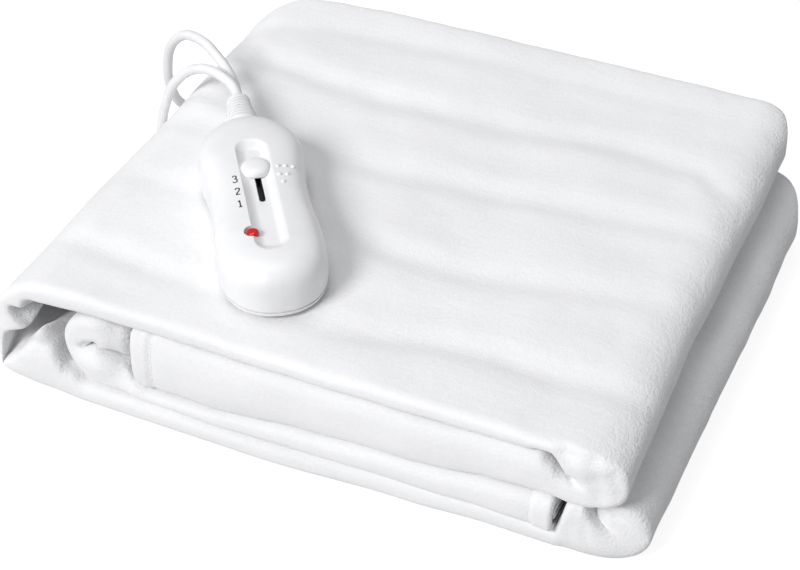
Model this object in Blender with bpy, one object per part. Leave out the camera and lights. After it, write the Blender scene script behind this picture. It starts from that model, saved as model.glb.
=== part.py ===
"""Electric heated blanket, folded, with its hand controller and its two cords.

The blanket is a double-bed underblanket.  It is folded in half twice along its
length into a strip of four plies, and the strip is then folded over from both
ends into five layers.  Seen from the front the strip runs from its hemmed end A
to the right (layer 2), over the upper right fold, back to the left (layer 1, the
top face), round the tall left fold, to the right along the floor (layer 4), round
the lower right fold, to the left (the hidden layer between 2 and 3), round the
inner left fold and to the right (layer 3) to its other hemmed end B.

All sizes are in millimetres and are turned into metres where a mesh is made.
+X is to the right, +Y to the back, +Z up.  The origin is the middle of the
underside of the blanket.
"""
import math
from collections import namedtuple

import bmesh
import bpy
from mathutils import Matrix, Vector

MM = 0.001
GAP = 0.3                       # between pieces that touch

# ---------------------------------------------------------------- materials
# name: colour, roughness, metallic
FINISHES = {
    "white_fleece": ((0.86, 0.86, 0.87), 0.95, 0.0),
    "white_housing": ((0.88, 0.88, 0.89), 0.32, 0.0),
    "white_knob": ((0.90, 0.90, 0.91), 0.35, 0.0),
    "black_liner": ((0.012, 0.012, 0.013), 0.5, 0.0),
    "red_lens": ((0.70, 0.02, 0.02), 0.15, 0.0),
    "white_cord": ((0.85, 0.85, 0.86), 0.42, 0.0),
    "pin_metal": ((0.72, 0.72, 0.70), 0.25, 1.0),
}

# ------------------------------------------------------------------ blanket
LEFT_TIP = -199.5               # outermost point of the tall left fold
RIGHT_TIP = 197.0               # outermost point of the lower right fold
UPPER_RIGHT_TIP = 178.0         # outermost point of the upper right fold
INNER_LEFT_TIP = -149.0         # outermost point of the inner left fold
END_A = -103.0                  # hemmed end in layer 2
END_B = 143.0                   # hemmed end in layer 3
TOP = 78.0                      # height of the top face between two channels
BLEND_Y = -142.0                # behind this the layers lie pressed
SPREAD_Y = -30.0                # from here forward a fold widens to its front tip
ROLL = 7.0                      # depth of the rounded long edges
EDGE_POWER = 2.6                # squareness of the rounded edges
OUTER_STEPS = 23                # points across the outer face of the strip
INNER_STEPS = 9                 # points across the inner face
EDGE_STEPS = 5                  # points round a long edge, ends left out

CHANNEL_PITCH = 66.0            # between two heating channels of the top face
CHANNEL_Y = 12.0                # middle of the channel under the controller
CHANNEL_DEPTH = 2.6

# One row for each place along a layer where its section changes.
#   x             place along the layer
#   low, high     underside and top where the layer lies pressed
#   low_f, high_f underside and top at the rolled front edge
#   front, back   places of the two long edges
Row = namedtuple("Row", "x low high low_f high_f front back")

LAYER_2 = [
    Row(-103, 45.8, 60.2, 24.5, 65.0, -175, 172),
    Row(-50, 45.8, 60.2, 27.0, 65.5, -176, 173),
    Row(0, 45.8, 60.2, 30.5, 66.0, -175, 177),
    Row(60, 45.8, 60.2, 34.5, 66.0, -174, 177.5),
    Row(110, 45.8, 60.2, 37.5, 66.0, -172, 174),
    Row(158, 45.8, 60.2, 39.5, 66.0, -172, 170),
]
LAYER_1 = [
    Row(158, 61.2, TOP - 1.0, 67.0, TOP - 0.5, -169, 171),
    Row(110, 61.2, TOP, 67.0, TOP, -170, 171),
    Row(0, 61.2, TOP, 67.0, TOP, -172, 169),
    Row(-100, 61.2, TOP, 66.0, TOP, -173, 167),
    Row(-130, 61.6, TOP, 65.5, TOP, -173, 164),
    Row(-160, 61.0, TOP - 1.0, 64.0, TOP - 1.0, -174, 161),
]
LAYER_4 = [
    Row(-160, 0.0, 24.0, 0.0, 34.0, -177.5, 166),
    Row(-151, 0.0, 18.0, 0.0, 20.0, -177.5, 170),
    Row(-140, 0.0, 14.4, 0.0, 13.6, -177.5, 171),
    Row(-30, 0.0, 14.4, 0.0, 14.4, -177, 171.4),
    Row(60, 0.0, 14.4, 0.0, 14.6, -172, 171.4),
    Row(110, 0.0, 14.4, 0.0, 15.0, -169, 168),
    Row(160, 0.0, 14.4, 0.0, 17.0, -169, 151),
]
HIDDEN_LAYER = [
    Row(160, 30.6, 44.8, 26.0, 38.3, -164, 150),
    Row(145, 30.6, 44.8, 30.6, 41.0, -150, 158),
    Row(60, 30.6, 44.8, 30.6, 44.8, -148, 171),
    Row(-98, 30.6, 44.8, 30.6, 44.8, -148, 171),
    Row(-106, 33.0, 48.0, 33.0, 48.0, -150, 171),
    Row(-116, 37.0, 57.0, 38.0, 59.0, -162, 170),
    Row(-128, 38.4, 59.6, 40.5, 62.0, -171, 169),
]
LAYER_3 = [
    Row(-128, 15.5, 37.0, 14.8, 39.0, -175, 169),
    Row(-112, 15.5, 33.6, 14.8, 29.0, -175, 170),
    Row(-98, 15.4, 29.6, 15.0, 23.4, -176, 171),
    Row(0, 15.4, 29.6, 15.6, 29.3, -176, 172),
    Row(60, 15.4, 29.6, 15.8, 33.4, -175, 172),
    Row(110, 15.4, 29.6, 16.2, 36.4, -174, 171),
    Row(143, 15.4, 29.6, 16.8, 37.6, -174, 170),
]

# One row for each fold.
#   tip           outermost point of the outer face
#   front_tip     the same at the front edge
#   inner_tip     outermost point of the hollow inside the fold
#   low_power     squareness of the outer face below the tip, 2 is an ellipse
#   high_power    squareness of the outer face above the tip
#   inner_power   squareness of the hollow
#   front_in      how far the front edge draws in at the tip
#   back_in       how far the back edge draws in at the tip
#   back_power    how late the back edge draws in
#   lean          height of the tip above the middle of the fold
#   steps         stations along the fold
Fold = namedtuple("Fold", "tip front_tip inner_tip low_power high_power inner_power "
                          "front_in back_in back_power lean steps")

UPPER_RIGHT_FOLD = Fold(UPPER_RIGHT_TIP, UPPER_RIGHT_TIP + 4.5, 162.0, 2.3, 2.2, 2.0,
                        2.0, 20.0, 5.0, -2.0, 9)
LEFT_FOLD = Fold(LEFT_TIP, LEFT_TIP, -185.5, 4.2, 2.0, 2.6, 3.0, 29.0, 1.2, -5.0, 13)
LOWER_RIGHT_FOLD = Fold(RIGHT_TIP, RIGHT_TIP - 1.5, 181.0, 2.4, 2.2, 2.2,
                        4.0, 25.0, 5.0, -1.0, 11)
INNER_LEFT_FOLD = Fold(INNER_LEFT_TIP, INNER_LEFT_TIP - 4.0, -132.0, 2.1, 2.1, 2.0,
                       2.5, 4.0, 2.0, 2.0, 9)

RUN_STATIONS = 7                # least stations along a layer
STATION_PITCH = 27.0

# --------------------------------------------------------------- controller
CONTROLLER_AT = (-71.9, -76.2)  # middle of the controller on the top face
CONTROLLER_TURN = 35.5          # degrees, its head points away to the left
CONTROLLER_BASE = TOP + GAP
HALF_LENGTH = 79.5
PARTING = 3.6                   # height of the line between the two housings
HOUSING_TOP = 31.0
# half width of the controller at places along it, its head at +y
Width = namedtuple("Width", "y half")
OUTLINE = [
    Width(-79.5, 0.0), Width(-78.6, 8.0), Width(-75.8, 15.0), Width(-70.8, 21.5),
    Width(-63.0, 26.8), Width(-54.0, 29.6), Width(-42.0, 30.4), Width(-28.0, 30.0),
    Width(-12.0, 28.6), Width(6.0, 28.0), Width(22.0, 29.0), Width(36.0, 31.0),
    Width(47.0, 31.4), Width(57.0, 29.4), Width(66.0, 24.4), Width(73.2, 17.2),
    Width(77.8, 9.0), Width(79.5, 0.0),
]
# how far the upper housing draws in as it rises: height, inset
Level = namedtuple("Level", "z inset")
UPPER_LEVELS = [
    Level(PARTING + GAP, 0.7), Level(5.6, 0.1), Level(14.0, 0.0), Level(19.5, 0.5), Level(23.5, 2.0),
    Level(26.6, 4.6), Level(28.6, 8.0), Level(29.9, 12.5), Level(30.7, 18.5),
    Level(HOUSING_TOP, 25.0),
]
LOWER_LEVELS = [
    Level(0.0, 3.2), Level(0.8, 1.4), Level(2.0, 0.5), Level(PARTING, 0.3),
]

RECESS_HALF = 9.6
RECESS_TOP_Y = 45.5
RECESS_BOTTOM_Y = -57.0
RECESS_FLOOR = 26.0
RECESS_FLARE = 0.8              # the recess is this much wider at its rim
SLOT_HALF = 1.8
SLOT_BOTTOM_Y = -10.1
SLOT_TOP_Y = 22.1
SLOT_DEPTH = 6.0
LINER_WALL = 0.5
KNOB_Y = 19.5
KNOB_RADIUS = 8.9
KNOB_HEIGHT = 6.6
STEM_HALF = 0.9
STEM_HALF_LENGTH = 2.2
STEM_DEPTH = 4.0
LENS_AT = (-9.6, -39.5)
LENS_RADIUS = 3.2
LENS_PIT_RADIUS = 3.9
LENS_PIT_FLOOR = 25.0
LENS_HEIGHT = 3.2

BOOT_Z = 14.75                  # height of the boot's axis over the underside
BOOT_IN = 4.0                   # how far its neck reaches into the upper housing
BOOT_END_Y = 106.5
BOOT_NECK = (6.2, 4.6)          # half width and half height
BOOT_SKIRT = [                  # the smooth flare between neck and ribs: y, half sizes
    (HALF_LENGTH + 1.2, 9.4, 7.6), (HALF_LENGTH + 2.4, 10.2, 8.2), (HALF_LENGTH + 5.4, 10.0, 8.1),
]
BOOT_BASE = (9.8, 8.0)          # at the first rib
BOOT_TIP = (6.7, 7.3)
BOOT_RIBS_Y = 86.0
BOOT_RIBS = 7
RIB_PROUD = 0.8

# -------------------------------------------------------------------- cords
CORD = 6.5                      # diameter of both cords
CORD_SPACING = 2.3 * CORD       # between two points of a cord's solid
SHORT_SPACING = 1.2 * CORD      # the same on the short end at the plug
FLOOR_Z = CORD / 2 + 0.2

# The mains lead leaves the boot, arches over the left rim, comes down beside
# the left fold, and runs back round the corner into its coil.
MAINS_ROUTE = [
    (-134.2, 11.1, 89.6), (-138.6, 18.2, 90.6), (-145.6, 27.6, 92.6), (-157.2, 38.3, 95.0),
    (-167.6, 44.6, 98.0), (-178.0, 50.7, 99.8), (-189.2, 56.2, 98.7), (-199.7, 61.2, 94.5),
    (-210.2, 65.4, 85.3), (-216.9, 68.1, 74.2), (-220.2, 69.8, 62.9), (-221.8, 71.1, 50.4),
    (-222.0, 74.6, 37.0), (-222.0, 80.8, 24.9), (-221.5, 91.0, 13.6), (-220.5, 104.0, 6.2),
    (-219.5, 119.0, FLOOR_Z), (-218.5, 136.0, FLOOR_Z), (-217.0, 156.0, FLOOR_Z),
    (-216.5, 178.0, FLOOR_Z), (-215.0, 200.0, FLOOR_Z), (-209.0, 221.0, FLOOR_Z),
    (-197.0, 238.0, FLOOR_Z), (-178.5, 248.6, FLOOR_Z), (-155.0, 252.2, FLOOR_Z),
    (-125.0, 252.6, FLOOR_Z), (-100.0, 252.6, FLOOR_Z), (-77.9, 252.6, FLOOR_Z),
]
# The end of the mains lead, from the top turns of the coil to the plug.
PLUG_ROUTE = [
    (-32.1, 252.6, FLOOR_Z + CORD), (-27.0, 252.6, 9.8), (-19.9, 251.3, 9.5),
    (-12.6, 247.5, 9.1), (-7.0, 241.6, 8.6), (-1.3, 235.7, 8.1), (5.9, 231.9, 7.6),
    (14.0, 230.6, 7.1), (20.7, 230.6, 7.1),
]
# The second lead leaves the boot over the first, arches lower, hugs the rim,
# and runs back to its inlet in the back of the blanket.
LEAD_ROUTE = [
    (-134.4, 11.5, 96.5), (-137.2, 14.8, 97.0), (-141.4, 18.6, 98.1), (-148.0, 21.9, 99.1),
    (-158.4, 26.6, 98.8), (-170.8, 30.6, 95.5), (-181.9, 32.8, 88.8), (-190.9, 33.2, 79.5),
    (-196.7, 32.8, 69.7), (-200.8, 31.7, 57.5), (-203.6, 31.0, 45.6), (-205.4, 31.0, 33.5),
    (-206.2, 33.3, 21.9), (-206.6, 39.7, 12.3), (-207.0, 49.3, 6.0), (-207.0, 61.5, FLOOR_Z),
    (-207.0, 85.0, FLOOR_Z), (-207.0, 110.0, FLOOR_Z), (-206.6, 136.0, FLOOR_Z),
    (-205.0, 161.0, FLOOR_Z), (-199.0, 183.0, FLOOR_Z), (-188.0, 202.0, FLOOR_Z),
    (-173.0, 217.0, 3.9), (-156.0, 226.0, 5.8), (-139.5, 228.6, 9.7), (-125.6, 223.6, 15.5),
    (-117.2, 213.6, 20.8), (-114.3, 202.6, 24.0), (-114.0, 191.2, 24.4),
]
INLET_AT = (-114.0, 170.8, 24.4)
INLET_LENGTH = 20.0

COIL_AT = (-55.0, 214.0)        # middle of the coil on the floor
COIL_INNER = 25.4               # radius of the innermost turns
COIL_COLUMNS = 3
COIL_PITCH = CORD + 0.1         # between two turns side by side
COIL_LAYERS = 2

PLUG_AT = (21.0, 230.6)         # cord end of the plug, which points to the right
PLUG_TURN = 0.0
PLUG_AXIS_Z = 7.1
PLUG_TAIL = 24.0
PLUG_BODY = 34.0
PLUG_HALF_WIDTH = 17.6
PLUG_HALF_HEIGHT = 6.85
PIN_RADIUS = 2.0
PIN_LENGTH = 19.0
PIN_SPACING = 18.6


# =============================================================== tool functions
def clear_scene():
    for thing in list(bpy.data.objects):
        bpy.data.objects.remove(thing, do_unlink=True)


def material(name):
    made = bpy.data.materials.get(name)
    if made:
        return made
    colour, roughness, metallic = FINISHES[name]
    made = bpy.data.materials.new(name)
    made.use_nodes = True
    shader = made.node_tree.nodes["Principled BSDF"]
    shader.inputs["Base Color"].default_value = (*colour, 1.0)
    shader.inputs["Roughness"].default_value = roughness
    shader.inputs["Metallic"].default_value = metallic
    made.diffuse_color = (*colour, 1.0)
    return made


def add_object(name, mesh_or_curve, finish, smooth_angle=None):
    thing = bpy.data.objects.new(name, mesh_or_curve)
    bpy.context.scene.collection.objects.link(thing)
    if finish:
        thing.data.materials.append(material(finish))
    if smooth_angle is not None:
        thing.data.shade_smooth()
        thing.data.set_sharp_from_angle(angle=math.radians(smooth_angle))
    return thing


def mesh_from_loops(name, loops, closed_ends=True):
    """A closed skin over a list of loops of equally many points, in millimetres."""
    bm = bmesh.new()
    rings = [[bm.verts.new([c * MM for c in point]) for point in loop] for loop in loops]
    count = len(rings[0])
    for near, far in zip(rings, rings[1:]):
        for i in range(count):
            j = (i + 1) % count
            bm.faces.new((near[i], near[j], far[j], far[i]))
    if closed_ends:
        bm.faces.new(list(reversed(rings[0])))
        bm.faces.new(rings[-1])
    bmesh.ops.recalc_face_normals(bm, faces=bm.faces)
    mesh = bpy.data.meshes.new(name)
    bm.to_mesh(mesh)
    bm.free()
    return mesh


def loft(name, loops, finish, smooth_angle=40.0):
    return add_object(name, mesh_from_loops(name, loops), finish, smooth_angle)


def smooth_step(t):
    t = min(1.0, max(0.0, t))
    return t * t * (3.0 - 2.0 * t)


def power(value, exponent):
    return math.copysign(abs(value) ** exponent, value)


def between(a, b, t):
    return a + (b - a) * t


def catmull_rom(points, steps):
    """Points on a smooth curve through the given points."""
    ends = [[2 * p - q for p, q in zip(points[0], points[1])],
            [2 * p - q for p, q in zip(points[-1], points[-2])]]
    through = [ends[0], *points, ends[1]]
    curve = []
    for p0, p1, p2, p3 in zip(through, through[1:], through[2:], through[3:]):
        for k in range(steps):
            t = k / steps
            curve.append(tuple(
                0.5 * (2 * b + (c - a) * t + (2 * a - 5 * b + 4 * c - d) * t * t
                       + (3 * b - a - 3 * c + d) * t ** 3)
                for a, b, c, d in zip(p0, p1, p2, p3)))
    curve.append(tuple(points[-1]))
    return curve


def evenly(points, spacing):
    """The same curve with points about a spacing apart, both ends kept."""
    lengths = [0.0]
    for p, q in zip(points, points[1:]):
        lengths.append(lengths[-1] + math.dist(p, q))
    count = max(2, round(lengths[-1] / spacing))
    spread = []
    k = 0
    for i in range(count + 1):
        target = lengths[-1] * i / count
        while k < len(points) - 2 and lengths[k + 1] < target:
            k += 1
        t = (target - lengths[k]) / (lengths[k + 1] - lengths[k])
        spread.append(tuple(between(a, b, t) for a, b in zip(points[k], points[k + 1])))
    return spread


# ===================================================================== blanket
def channel_dip(y, front, back):
    """How far the top face sinks at the heating channels, 0 near the long edges."""
    wave = 0.5 + 0.5 * math.cos(2 * math.pi * (y - CHANNEL_Y) / CHANNEL_PITCH)
    fade = smooth_step((y - front) / 25.0) * smooth_step((back - y) / 25.0)
    return CHANNEL_DEPTH * wave ** 2 * fade


def edge_profile(a_point, b_point, y_flat, y_tip):
    """Points round a long edge from the face at a_point to the face at b_point."""
    middle = [between(a, b, 0.5) for a, b in zip(a_point, b_point)]
    profile = []
    for k in range(1, EDGE_STEPS + 1):
        angle = math.pi * k / (EDGE_STEPS + 1)
        side = power(math.cos(angle), 2.0 / EDGE_POWER)
        out = math.sin(angle) ** (2.0 / EDGE_POWER)
        x = middle[0] + (a_point[0] - middle[0]) * side
        z = middle[1] + (a_point[1] - middle[1]) * side
        profile.append((x, between(y_flat, y_tip, out), z))
    return profile


def strip_loop(outer, inner, outer_f, inner_f, front, back, dip):
    """One section round the four plies: outer face, front roll, inner face, back roll."""
    front_flat = front + ROLL
    back_flat = back - ROLL

    def face_point(pressed, rolled, y, sink):
        spread = smooth_step((y - front_flat) / (SPREAD_Y - front_flat))
        press = smooth_step((y - front_flat) / (BLEND_Y - front_flat))
        x = between(rolled[0], pressed[0], spread)
        z = between(rolled[1], pressed[1], press)
        return (x, y, z - sink)

    loop = []
    for k in range(OUTER_STEPS):
        y = between(back_flat, front_flat, k / (OUTER_STEPS - 1))
        loop.append(face_point(outer, outer_f, y, dip * channel_dip(y, front, back)))
    loop += edge_profile(outer_f, inner_f, front_flat, front)
    for k in range(INNER_STEPS):
        y = between(front_flat, back_flat, (k / (INNER_STEPS - 1)) ** 1.6)
        loop.append(face_point(inner, inner_f, y, 0.0))
    loop += edge_profile(inner, outer, back_flat, back)
    return loop


def row_at(rows, x):
    """The row at any place along a layer, read smoothly between its rows."""
    rows = sorted(rows)
    if x <= rows[0].x:
        return rows[0]
    for a, b in zip(rows, rows[1:]):
        if x <= b.x:
            t = smooth_step((x - a.x) / (b.x - a.x))
            return Row(x, *(between(p, q, t) for p, q in zip(a[1:], b[1:])))
    return rows[-1]


def layer_loops(rows, outer_is_high, dip=0.0):
    """Sections along a layer from its first row to its last."""
    start = rows[0].x
    end = rows[-1].x
    places = {row.x for row in rows}
    count = max(RUN_STATIONS, round(abs(end - start) / STATION_PITCH))
    for k in range(count + 1):
        x = between(start, end, k / count)
        if min(abs(x - place) for place in places) > STATION_PITCH / 3:
            places.add(x)
    loops = []
    for x in sorted(places, reverse=end < start):
        row = row_at(rows, x)
        high = (x, row.high)
        low = (x, row.low)
        high_f = (x, row.high_f)
        low_f = (x, row.low_f)
        if outer_is_high:
            loops.append(strip_loop(high, low, high_f, low_f, row.front, row.back, dip))
        else:
            loops.append(strip_loop(low, high, low_f, high_f, row.front, row.back, dip))
    return loops


def fold_loops(fold, before, after, going_up, dip=(0.0, 0.0)):
    """Sections round a fold that joins the layer row before to the row after.

    going_up says whether the outer face starts at the bottom of the fold."""
    join = before.x

    def arc(ends, tip, squareness, turn):
        side = power(math.cos(turn), 2.0 / squareness)
        rise = power(math.sin(turn), 2.0 / squareness)
        x = join + (tip - join) * side
        z = between(*ends, 0.5 + 0.5 * rise) + fold.lean * (1.0 - rise * rise)
        return (x, z)

    if going_up:
        outer_ends = ((before.low, after.high), (before.low_f, after.high_f))
        inner_ends = ((before.high, after.low), (before.high_f, after.low_f))
    else:
        outer_ends = ((before.high, after.low), (before.high_f, after.low_f))
        inner_ends = ((before.low, after.high), (before.low_f, after.high_f))
    loops = []
    for k in range(1, fold.steps):
        t = k / fold.steps
        turn = math.pi * (t - 0.5)
        reach = math.cos(turn) ** 2
        rising = turn > 0 if going_up else turn < 0
        squareness = fold.high_power if rising else fold.low_power
        outer = arc(outer_ends[0], fold.tip, squareness, turn)
        outer_f = arc(outer_ends[1], fold.front_tip, squareness, turn)
        inner, inner_f = (arc(ends, fold.inner_tip, fold.inner_power, turn) for ends in inner_ends)
        drawn = (outer[0] - join) / (fold.tip - join)
        front = between(before.front, after.front, t) + fold.front_in * reach
        back = between(before.back, after.back, t) - fold.back_in * drawn ** fold.back_power
        sink = between(*dip, t) * (1.0 - reach)
        loops.append(strip_loop(outer, inner, outer_f, inner_f, front, back, sink))
    return loops


def hem_loops(loop, direction, first):
    """Two sections that round off a hemmed end."""
    middle_z = sum(p[2] for p in loop) / len(loop)
    rounded = []
    for push, squeeze in ((1.6, 0.86), (2.6, 0.55)):
        rounded.append([(x + direction * push, y, middle_z + (z - middle_z) * squeeze)
                        for x, y, z in loop])
    return list(reversed(rounded)) if first else rounded


def make_blanket():
    layer_2 = layer_loops(LAYER_2, outer_is_high=False)
    layer_3 = layer_loops(LAYER_3, outer_is_high=False)
    loops = hem_loops(layer_2[0], -1, first=True)
    loops += layer_2
    loops += fold_loops(UPPER_RIGHT_FOLD, LAYER_2[-1], LAYER_1[0], True, (0.0, 1.0))
    loops += layer_loops(LAYER_1, outer_is_high=True, dip=1.0)
    loops += fold_loops(LEFT_FOLD, LAYER_1[-1], LAYER_4[0], False, (1.0, 0.0))
    loops += layer_loops(LAYER_4, outer_is_high=False)
    loops += fold_loops(LOWER_RIGHT_FOLD, LAYER_4[-1], HIDDEN_LAYER[0], True)
    loops += layer_loops(HIDDEN_LAYER, outer_is_high=True)
    loops += fold_loops(INNER_LEFT_FOLD, HIDDEN_LAYER[-1], LAYER_3[0], False)
    loops += layer_3
    loops += hem_loops(layer_3[-1], 1, first=False)
    return loft("blanket", loops, "white_fleece", 50.0)


# ================================================================== controller
def half_width(y):
    for a, b in zip(OUTLINE, OUTLINE[1:]):
        if y <= b.y:
            return between(a.half, b.half, (y - a.y) / (b.y - a.y))
    return 0.0


def housing_loop(level):
    """The controller's outline drawn in by the level's inset, at its height."""
    across = 1.0 - level.inset / max(row.half for row in OUTLINE)
    along = 1.0 - level.inset / HALF_LENGTH
    right = [(row.half * across, row.y * along, level.z) for row in OUTLINE]
    left = [(-row.half * across, row.y * along, level.z) for row in reversed(OUTLINE[1:-1])]
    return right + left


def stadium(half, y_low, y_high, z, arc_steps=8):
    """An upright slot shape: straight sides and round ends."""
    loop = []
    for centre, start in ((y_high - half, 0.0), (y_low + half, math.pi)):
        for k in range(arc_steps + 1):
            angle = start + math.pi * k / arc_steps
            loop.append((half * math.cos(angle), centre + half * math.sin(angle), z))
    return loop


def cut(body, cutter):
    cutter.hide_render = True
    cutter.display_type = "WIRE"
    boolean = body.modifiers.new(cutter.name, "BOOLEAN")
    boolean.operation = "DIFFERENCE"
    boolean.solver = "EXACT"
    boolean.object = cutter


def disc_loop(x, y, z, radius, sides):
    return [(x + radius * math.cos(2 * math.pi * k / sides),
             y + radius * math.sin(2 * math.pi * k / sides), z) for k in range(sides)]


def oval_loop(y, half_x, half_z, sides=16, x=0.0, z=BOOT_Z):
    return [(x + half_x * math.cos(2 * math.pi * k / sides), y,
             z + half_z * math.sin(2 * math.pi * k / sides)) for k in range(sides)]


def place(thing, parent):
    thing.parent = parent
    return thing


def make_controller():
    seat = bpy.data.objects.new("controller_seat", None)
    bpy.context.scene.collection.objects.link(seat)
    seat.location = Vector((*CONTROLLER_AT, CONTROLLER_BASE)) * MM
    seat.rotation_euler = (0.0, 0.0, math.radians(CONTROLLER_TURN))

    upper = loft("controller_upper_housing", [housing_loop(v) for v in UPPER_LEVELS],
                 "white_housing", 35.0)
    lower = loft("controller_lower_housing", [housing_loop(v) for v in LOWER_LEVELS],
                 "white_housing", 35.0)

    recess_loops = [
        stadium(RECESS_HALF - RECESS_FLARE, RECESS_BOTTOM_Y + RECESS_FLARE,
                RECESS_TOP_Y - RECESS_FLARE, RECESS_FLOOR),
        stadium(RECESS_HALF, RECESS_BOTTOM_Y, RECESS_TOP_Y, HOUSING_TOP),
        stadium(RECESS_HALF, RECESS_BOTTOM_Y, RECESS_TOP_Y, HOUSING_TOP + 2.0),
    ]
    recess = loft("recess_cutter", recess_loops, None)
    slot = loft("slot_cutter", [
        stadium(SLOT_HALF, SLOT_BOTTOM_Y, SLOT_TOP_Y, RECESS_FLOOR - SLOT_DEPTH, 4),
        stadium(SLOT_HALF, SLOT_BOTTOM_Y, SLOT_TOP_Y, RECESS_FLOOR + 1.0, 4)], None)
    pit = loft("lens_pit_cutter", [
        disc_loop(*LENS_AT, LENS_PIT_FLOOR, LENS_PIT_RADIUS, 16),
        disc_loop(*LENS_AT, HOUSING_TOP + 1.0, LENS_PIT_RADIUS + 0.5, 16)], None)
    neck_half_x, neck_half_z = BOOT_NECK
    neck_start = HALF_LENGTH - BOOT_IN
    boot_hole = loft("boot_hole_cutter", [
        oval_loop(neck_start - GAP, neck_half_x + GAP, neck_half_z + GAP),
        oval_loop(HALF_LENGTH + 6.0, neck_half_x + GAP, neck_half_z + GAP)], None)
    for cutter in (recess, slot, pit, boot_hole):
        cut(upper, cutter)

    liner_low = RECESS_FLOOR - SLOT_DEPTH + GAP
    liner_half = SLOT_HALF - GAP / 2
    liner = loft("controller_slot_liner", [
        stadium(liner_half, SLOT_BOTTOM_Y + GAP / 2, SLOT_TOP_Y - GAP / 2, liner_low, 4),
        stadium(liner_half, SLOT_BOTTOM_Y + GAP / 2, SLOT_TOP_Y - GAP / 2,
                liner_low + LINER_WALL, 4)], "black_liner", 30.0)

    lens_base = LENS_PIT_FLOOR + GAP
    lens = loft("controller_indicator_lens", [
        disc_loop(*LENS_AT, lens_base + rise * LENS_HEIGHT, LENS_RADIUS * spread, 16)
        for rise, spread in ((0.0, 1.0), (0.55, 1.0), (0.8, 0.86), (0.95, 0.55), (1.0, 0.2))],
        "red_lens", 50.0)

    boot_rows = [(neck_start, *BOOT_NECK), (HALF_LENGTH + 0.8, *BOOT_NECK), *BOOT_SKIRT]
    rib_pitch = (BOOT_END_Y - 3.0 - BOOT_RIBS_Y) / BOOT_RIBS
    for k in range(BOOT_RIBS):
        t = k / (BOOT_RIBS - 1)
        half_x = between(BOOT_BASE[0], BOOT_TIP[0], t)
        half_z = between(BOOT_BASE[1], BOOT_TIP[1], t)
        y = BOOT_RIBS_Y + k * rib_pitch
        boot_rows += [(y, half_x, half_z), (y + rib_pitch * 0.55, half_x, half_z),
                      (y + rib_pitch * 0.65, half_x - RIB_PROUD, half_z - RIB_PROUD),
                      (y + rib_pitch * 0.93, half_x - RIB_PROUD, half_z - RIB_PROUD)]
    boot_rows += [(BOOT_END_Y - 2.9, BOOT_TIP[0], BOOT_TIP[1]), (BOOT_END_Y, BOOT_TIP[0], BOOT_TIP[1])]
    boot = loft("controller_cord_boot", [oval_loop(*row) for row in boot_rows],
                "white_cord", 30.0)

    for thing in (upper, lower, recess, slot, pit, boot_hole, liner, lens, boot):
        place(thing, seat)
    make_knob(seat)
    return seat


def make_knob(seat):
    """The slider: a low dome on a stem, its origin on the line it slides along."""
    rest = RECESS_FLOOR + GAP
    dome = [(KNOB_RADIUS * spread, rest + KNOB_HEIGHT * rise)
            for spread, rise in ((0.99, 0.0), (1.0, 0.14), (0.96, 0.38), (0.86, 0.62),
                                 (0.68, 0.82), (0.42, 0.95), (0.15, 1.0))]
    dome_sides = 24
    loops = [disc_loop(0.0, 0.0, z - rest, radius, dome_sides) for radius, z in dome]
    knob = loft("controller_slider_knob", loops, "white_knob", 40.0)
    stem_loops = [
        [(sx * STEM_HALF, sy * STEM_HALF_LENGTH, z)
         for sx, sy in ((1, 1), (-1, 1), (-1, -1), (1, -1))]
        for z in (-STEM_DEPTH, 1.0)]
    stem = loft("knob_stem", stem_loops, None, None)
    stem.hide_render = True
    stem.display_type = "WIRE"
    joined = knob.modifiers.new("stem", "BOOLEAN")
    joined.operation = "UNION"
    joined.solver = "EXACT"
    joined.object = stem
    stem.parent = knob
    knob.parent = seat
    knob.location = Vector((0.0, KNOB_Y, rest)) * MM
    return knob


# ======================================================================= cords
def make_tube(name, route, spacing):
    points = evenly(catmull_rom(route, 12), spacing)
    curve = bpy.data.curves.new(name, "CURVE")
    curve.dimensions = "3D"
    curve.bevel_depth = CORD / 2 * MM
    curve.bevel_resolution = 3
    curve.use_fill_caps = True
    spline = curve.splines.new("POLY")
    spline.points.add(len(points) - 1)
    for slot, point in zip(spline.points, points):
        slot.co = (*(c * MM for c in point), 1.0)
    return add_object(name, curve, "white_cord")


def make_coil():
    """The outer shape of the wound lead: a turned ring."""
    low = FLOOR_Z - CORD / 2
    high = low + CORD * COIL_LAYERS
    inner = COIL_INNER - CORD / 2
    outer = COIL_INNER + COIL_PITCH * (COIL_COLUMNS - 1) + CORD / 2
    edge = CORD * 0.35
    section = [(inner + edge, low), (outer - edge, low), (outer, low + edge),
               (outer, high - edge), (outer - edge, high), (inner + edge, high),
               (inner, high - edge), (inner, low + edge)]
    sides = 36
    bm = bmesh.new()
    rings = []
    for k in range(sides):
        angle = 2 * math.pi * k / sides
        rings.append([bm.verts.new(((COIL_AT[0] + r * math.cos(angle)) * MM,
                                    (COIL_AT[1] + r * math.sin(angle)) * MM, z * MM))
                      for r, z in section])
    for near, far in zip(rings, rings[1:] + rings[:1]):
        for i in range(len(section)):
            j = (i + 1) % len(section)
            bm.faces.new((near[i], near[j], far[j], far[i]))
    bmesh.ops.recalc_face_normals(bm, faces=bm.faces)
    mesh = bpy.data.meshes.new("mains_coil")
    bm.to_mesh(mesh)
    bm.free()
    return add_object("mains_coil", mesh, "white_cord", 40.0)


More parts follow.
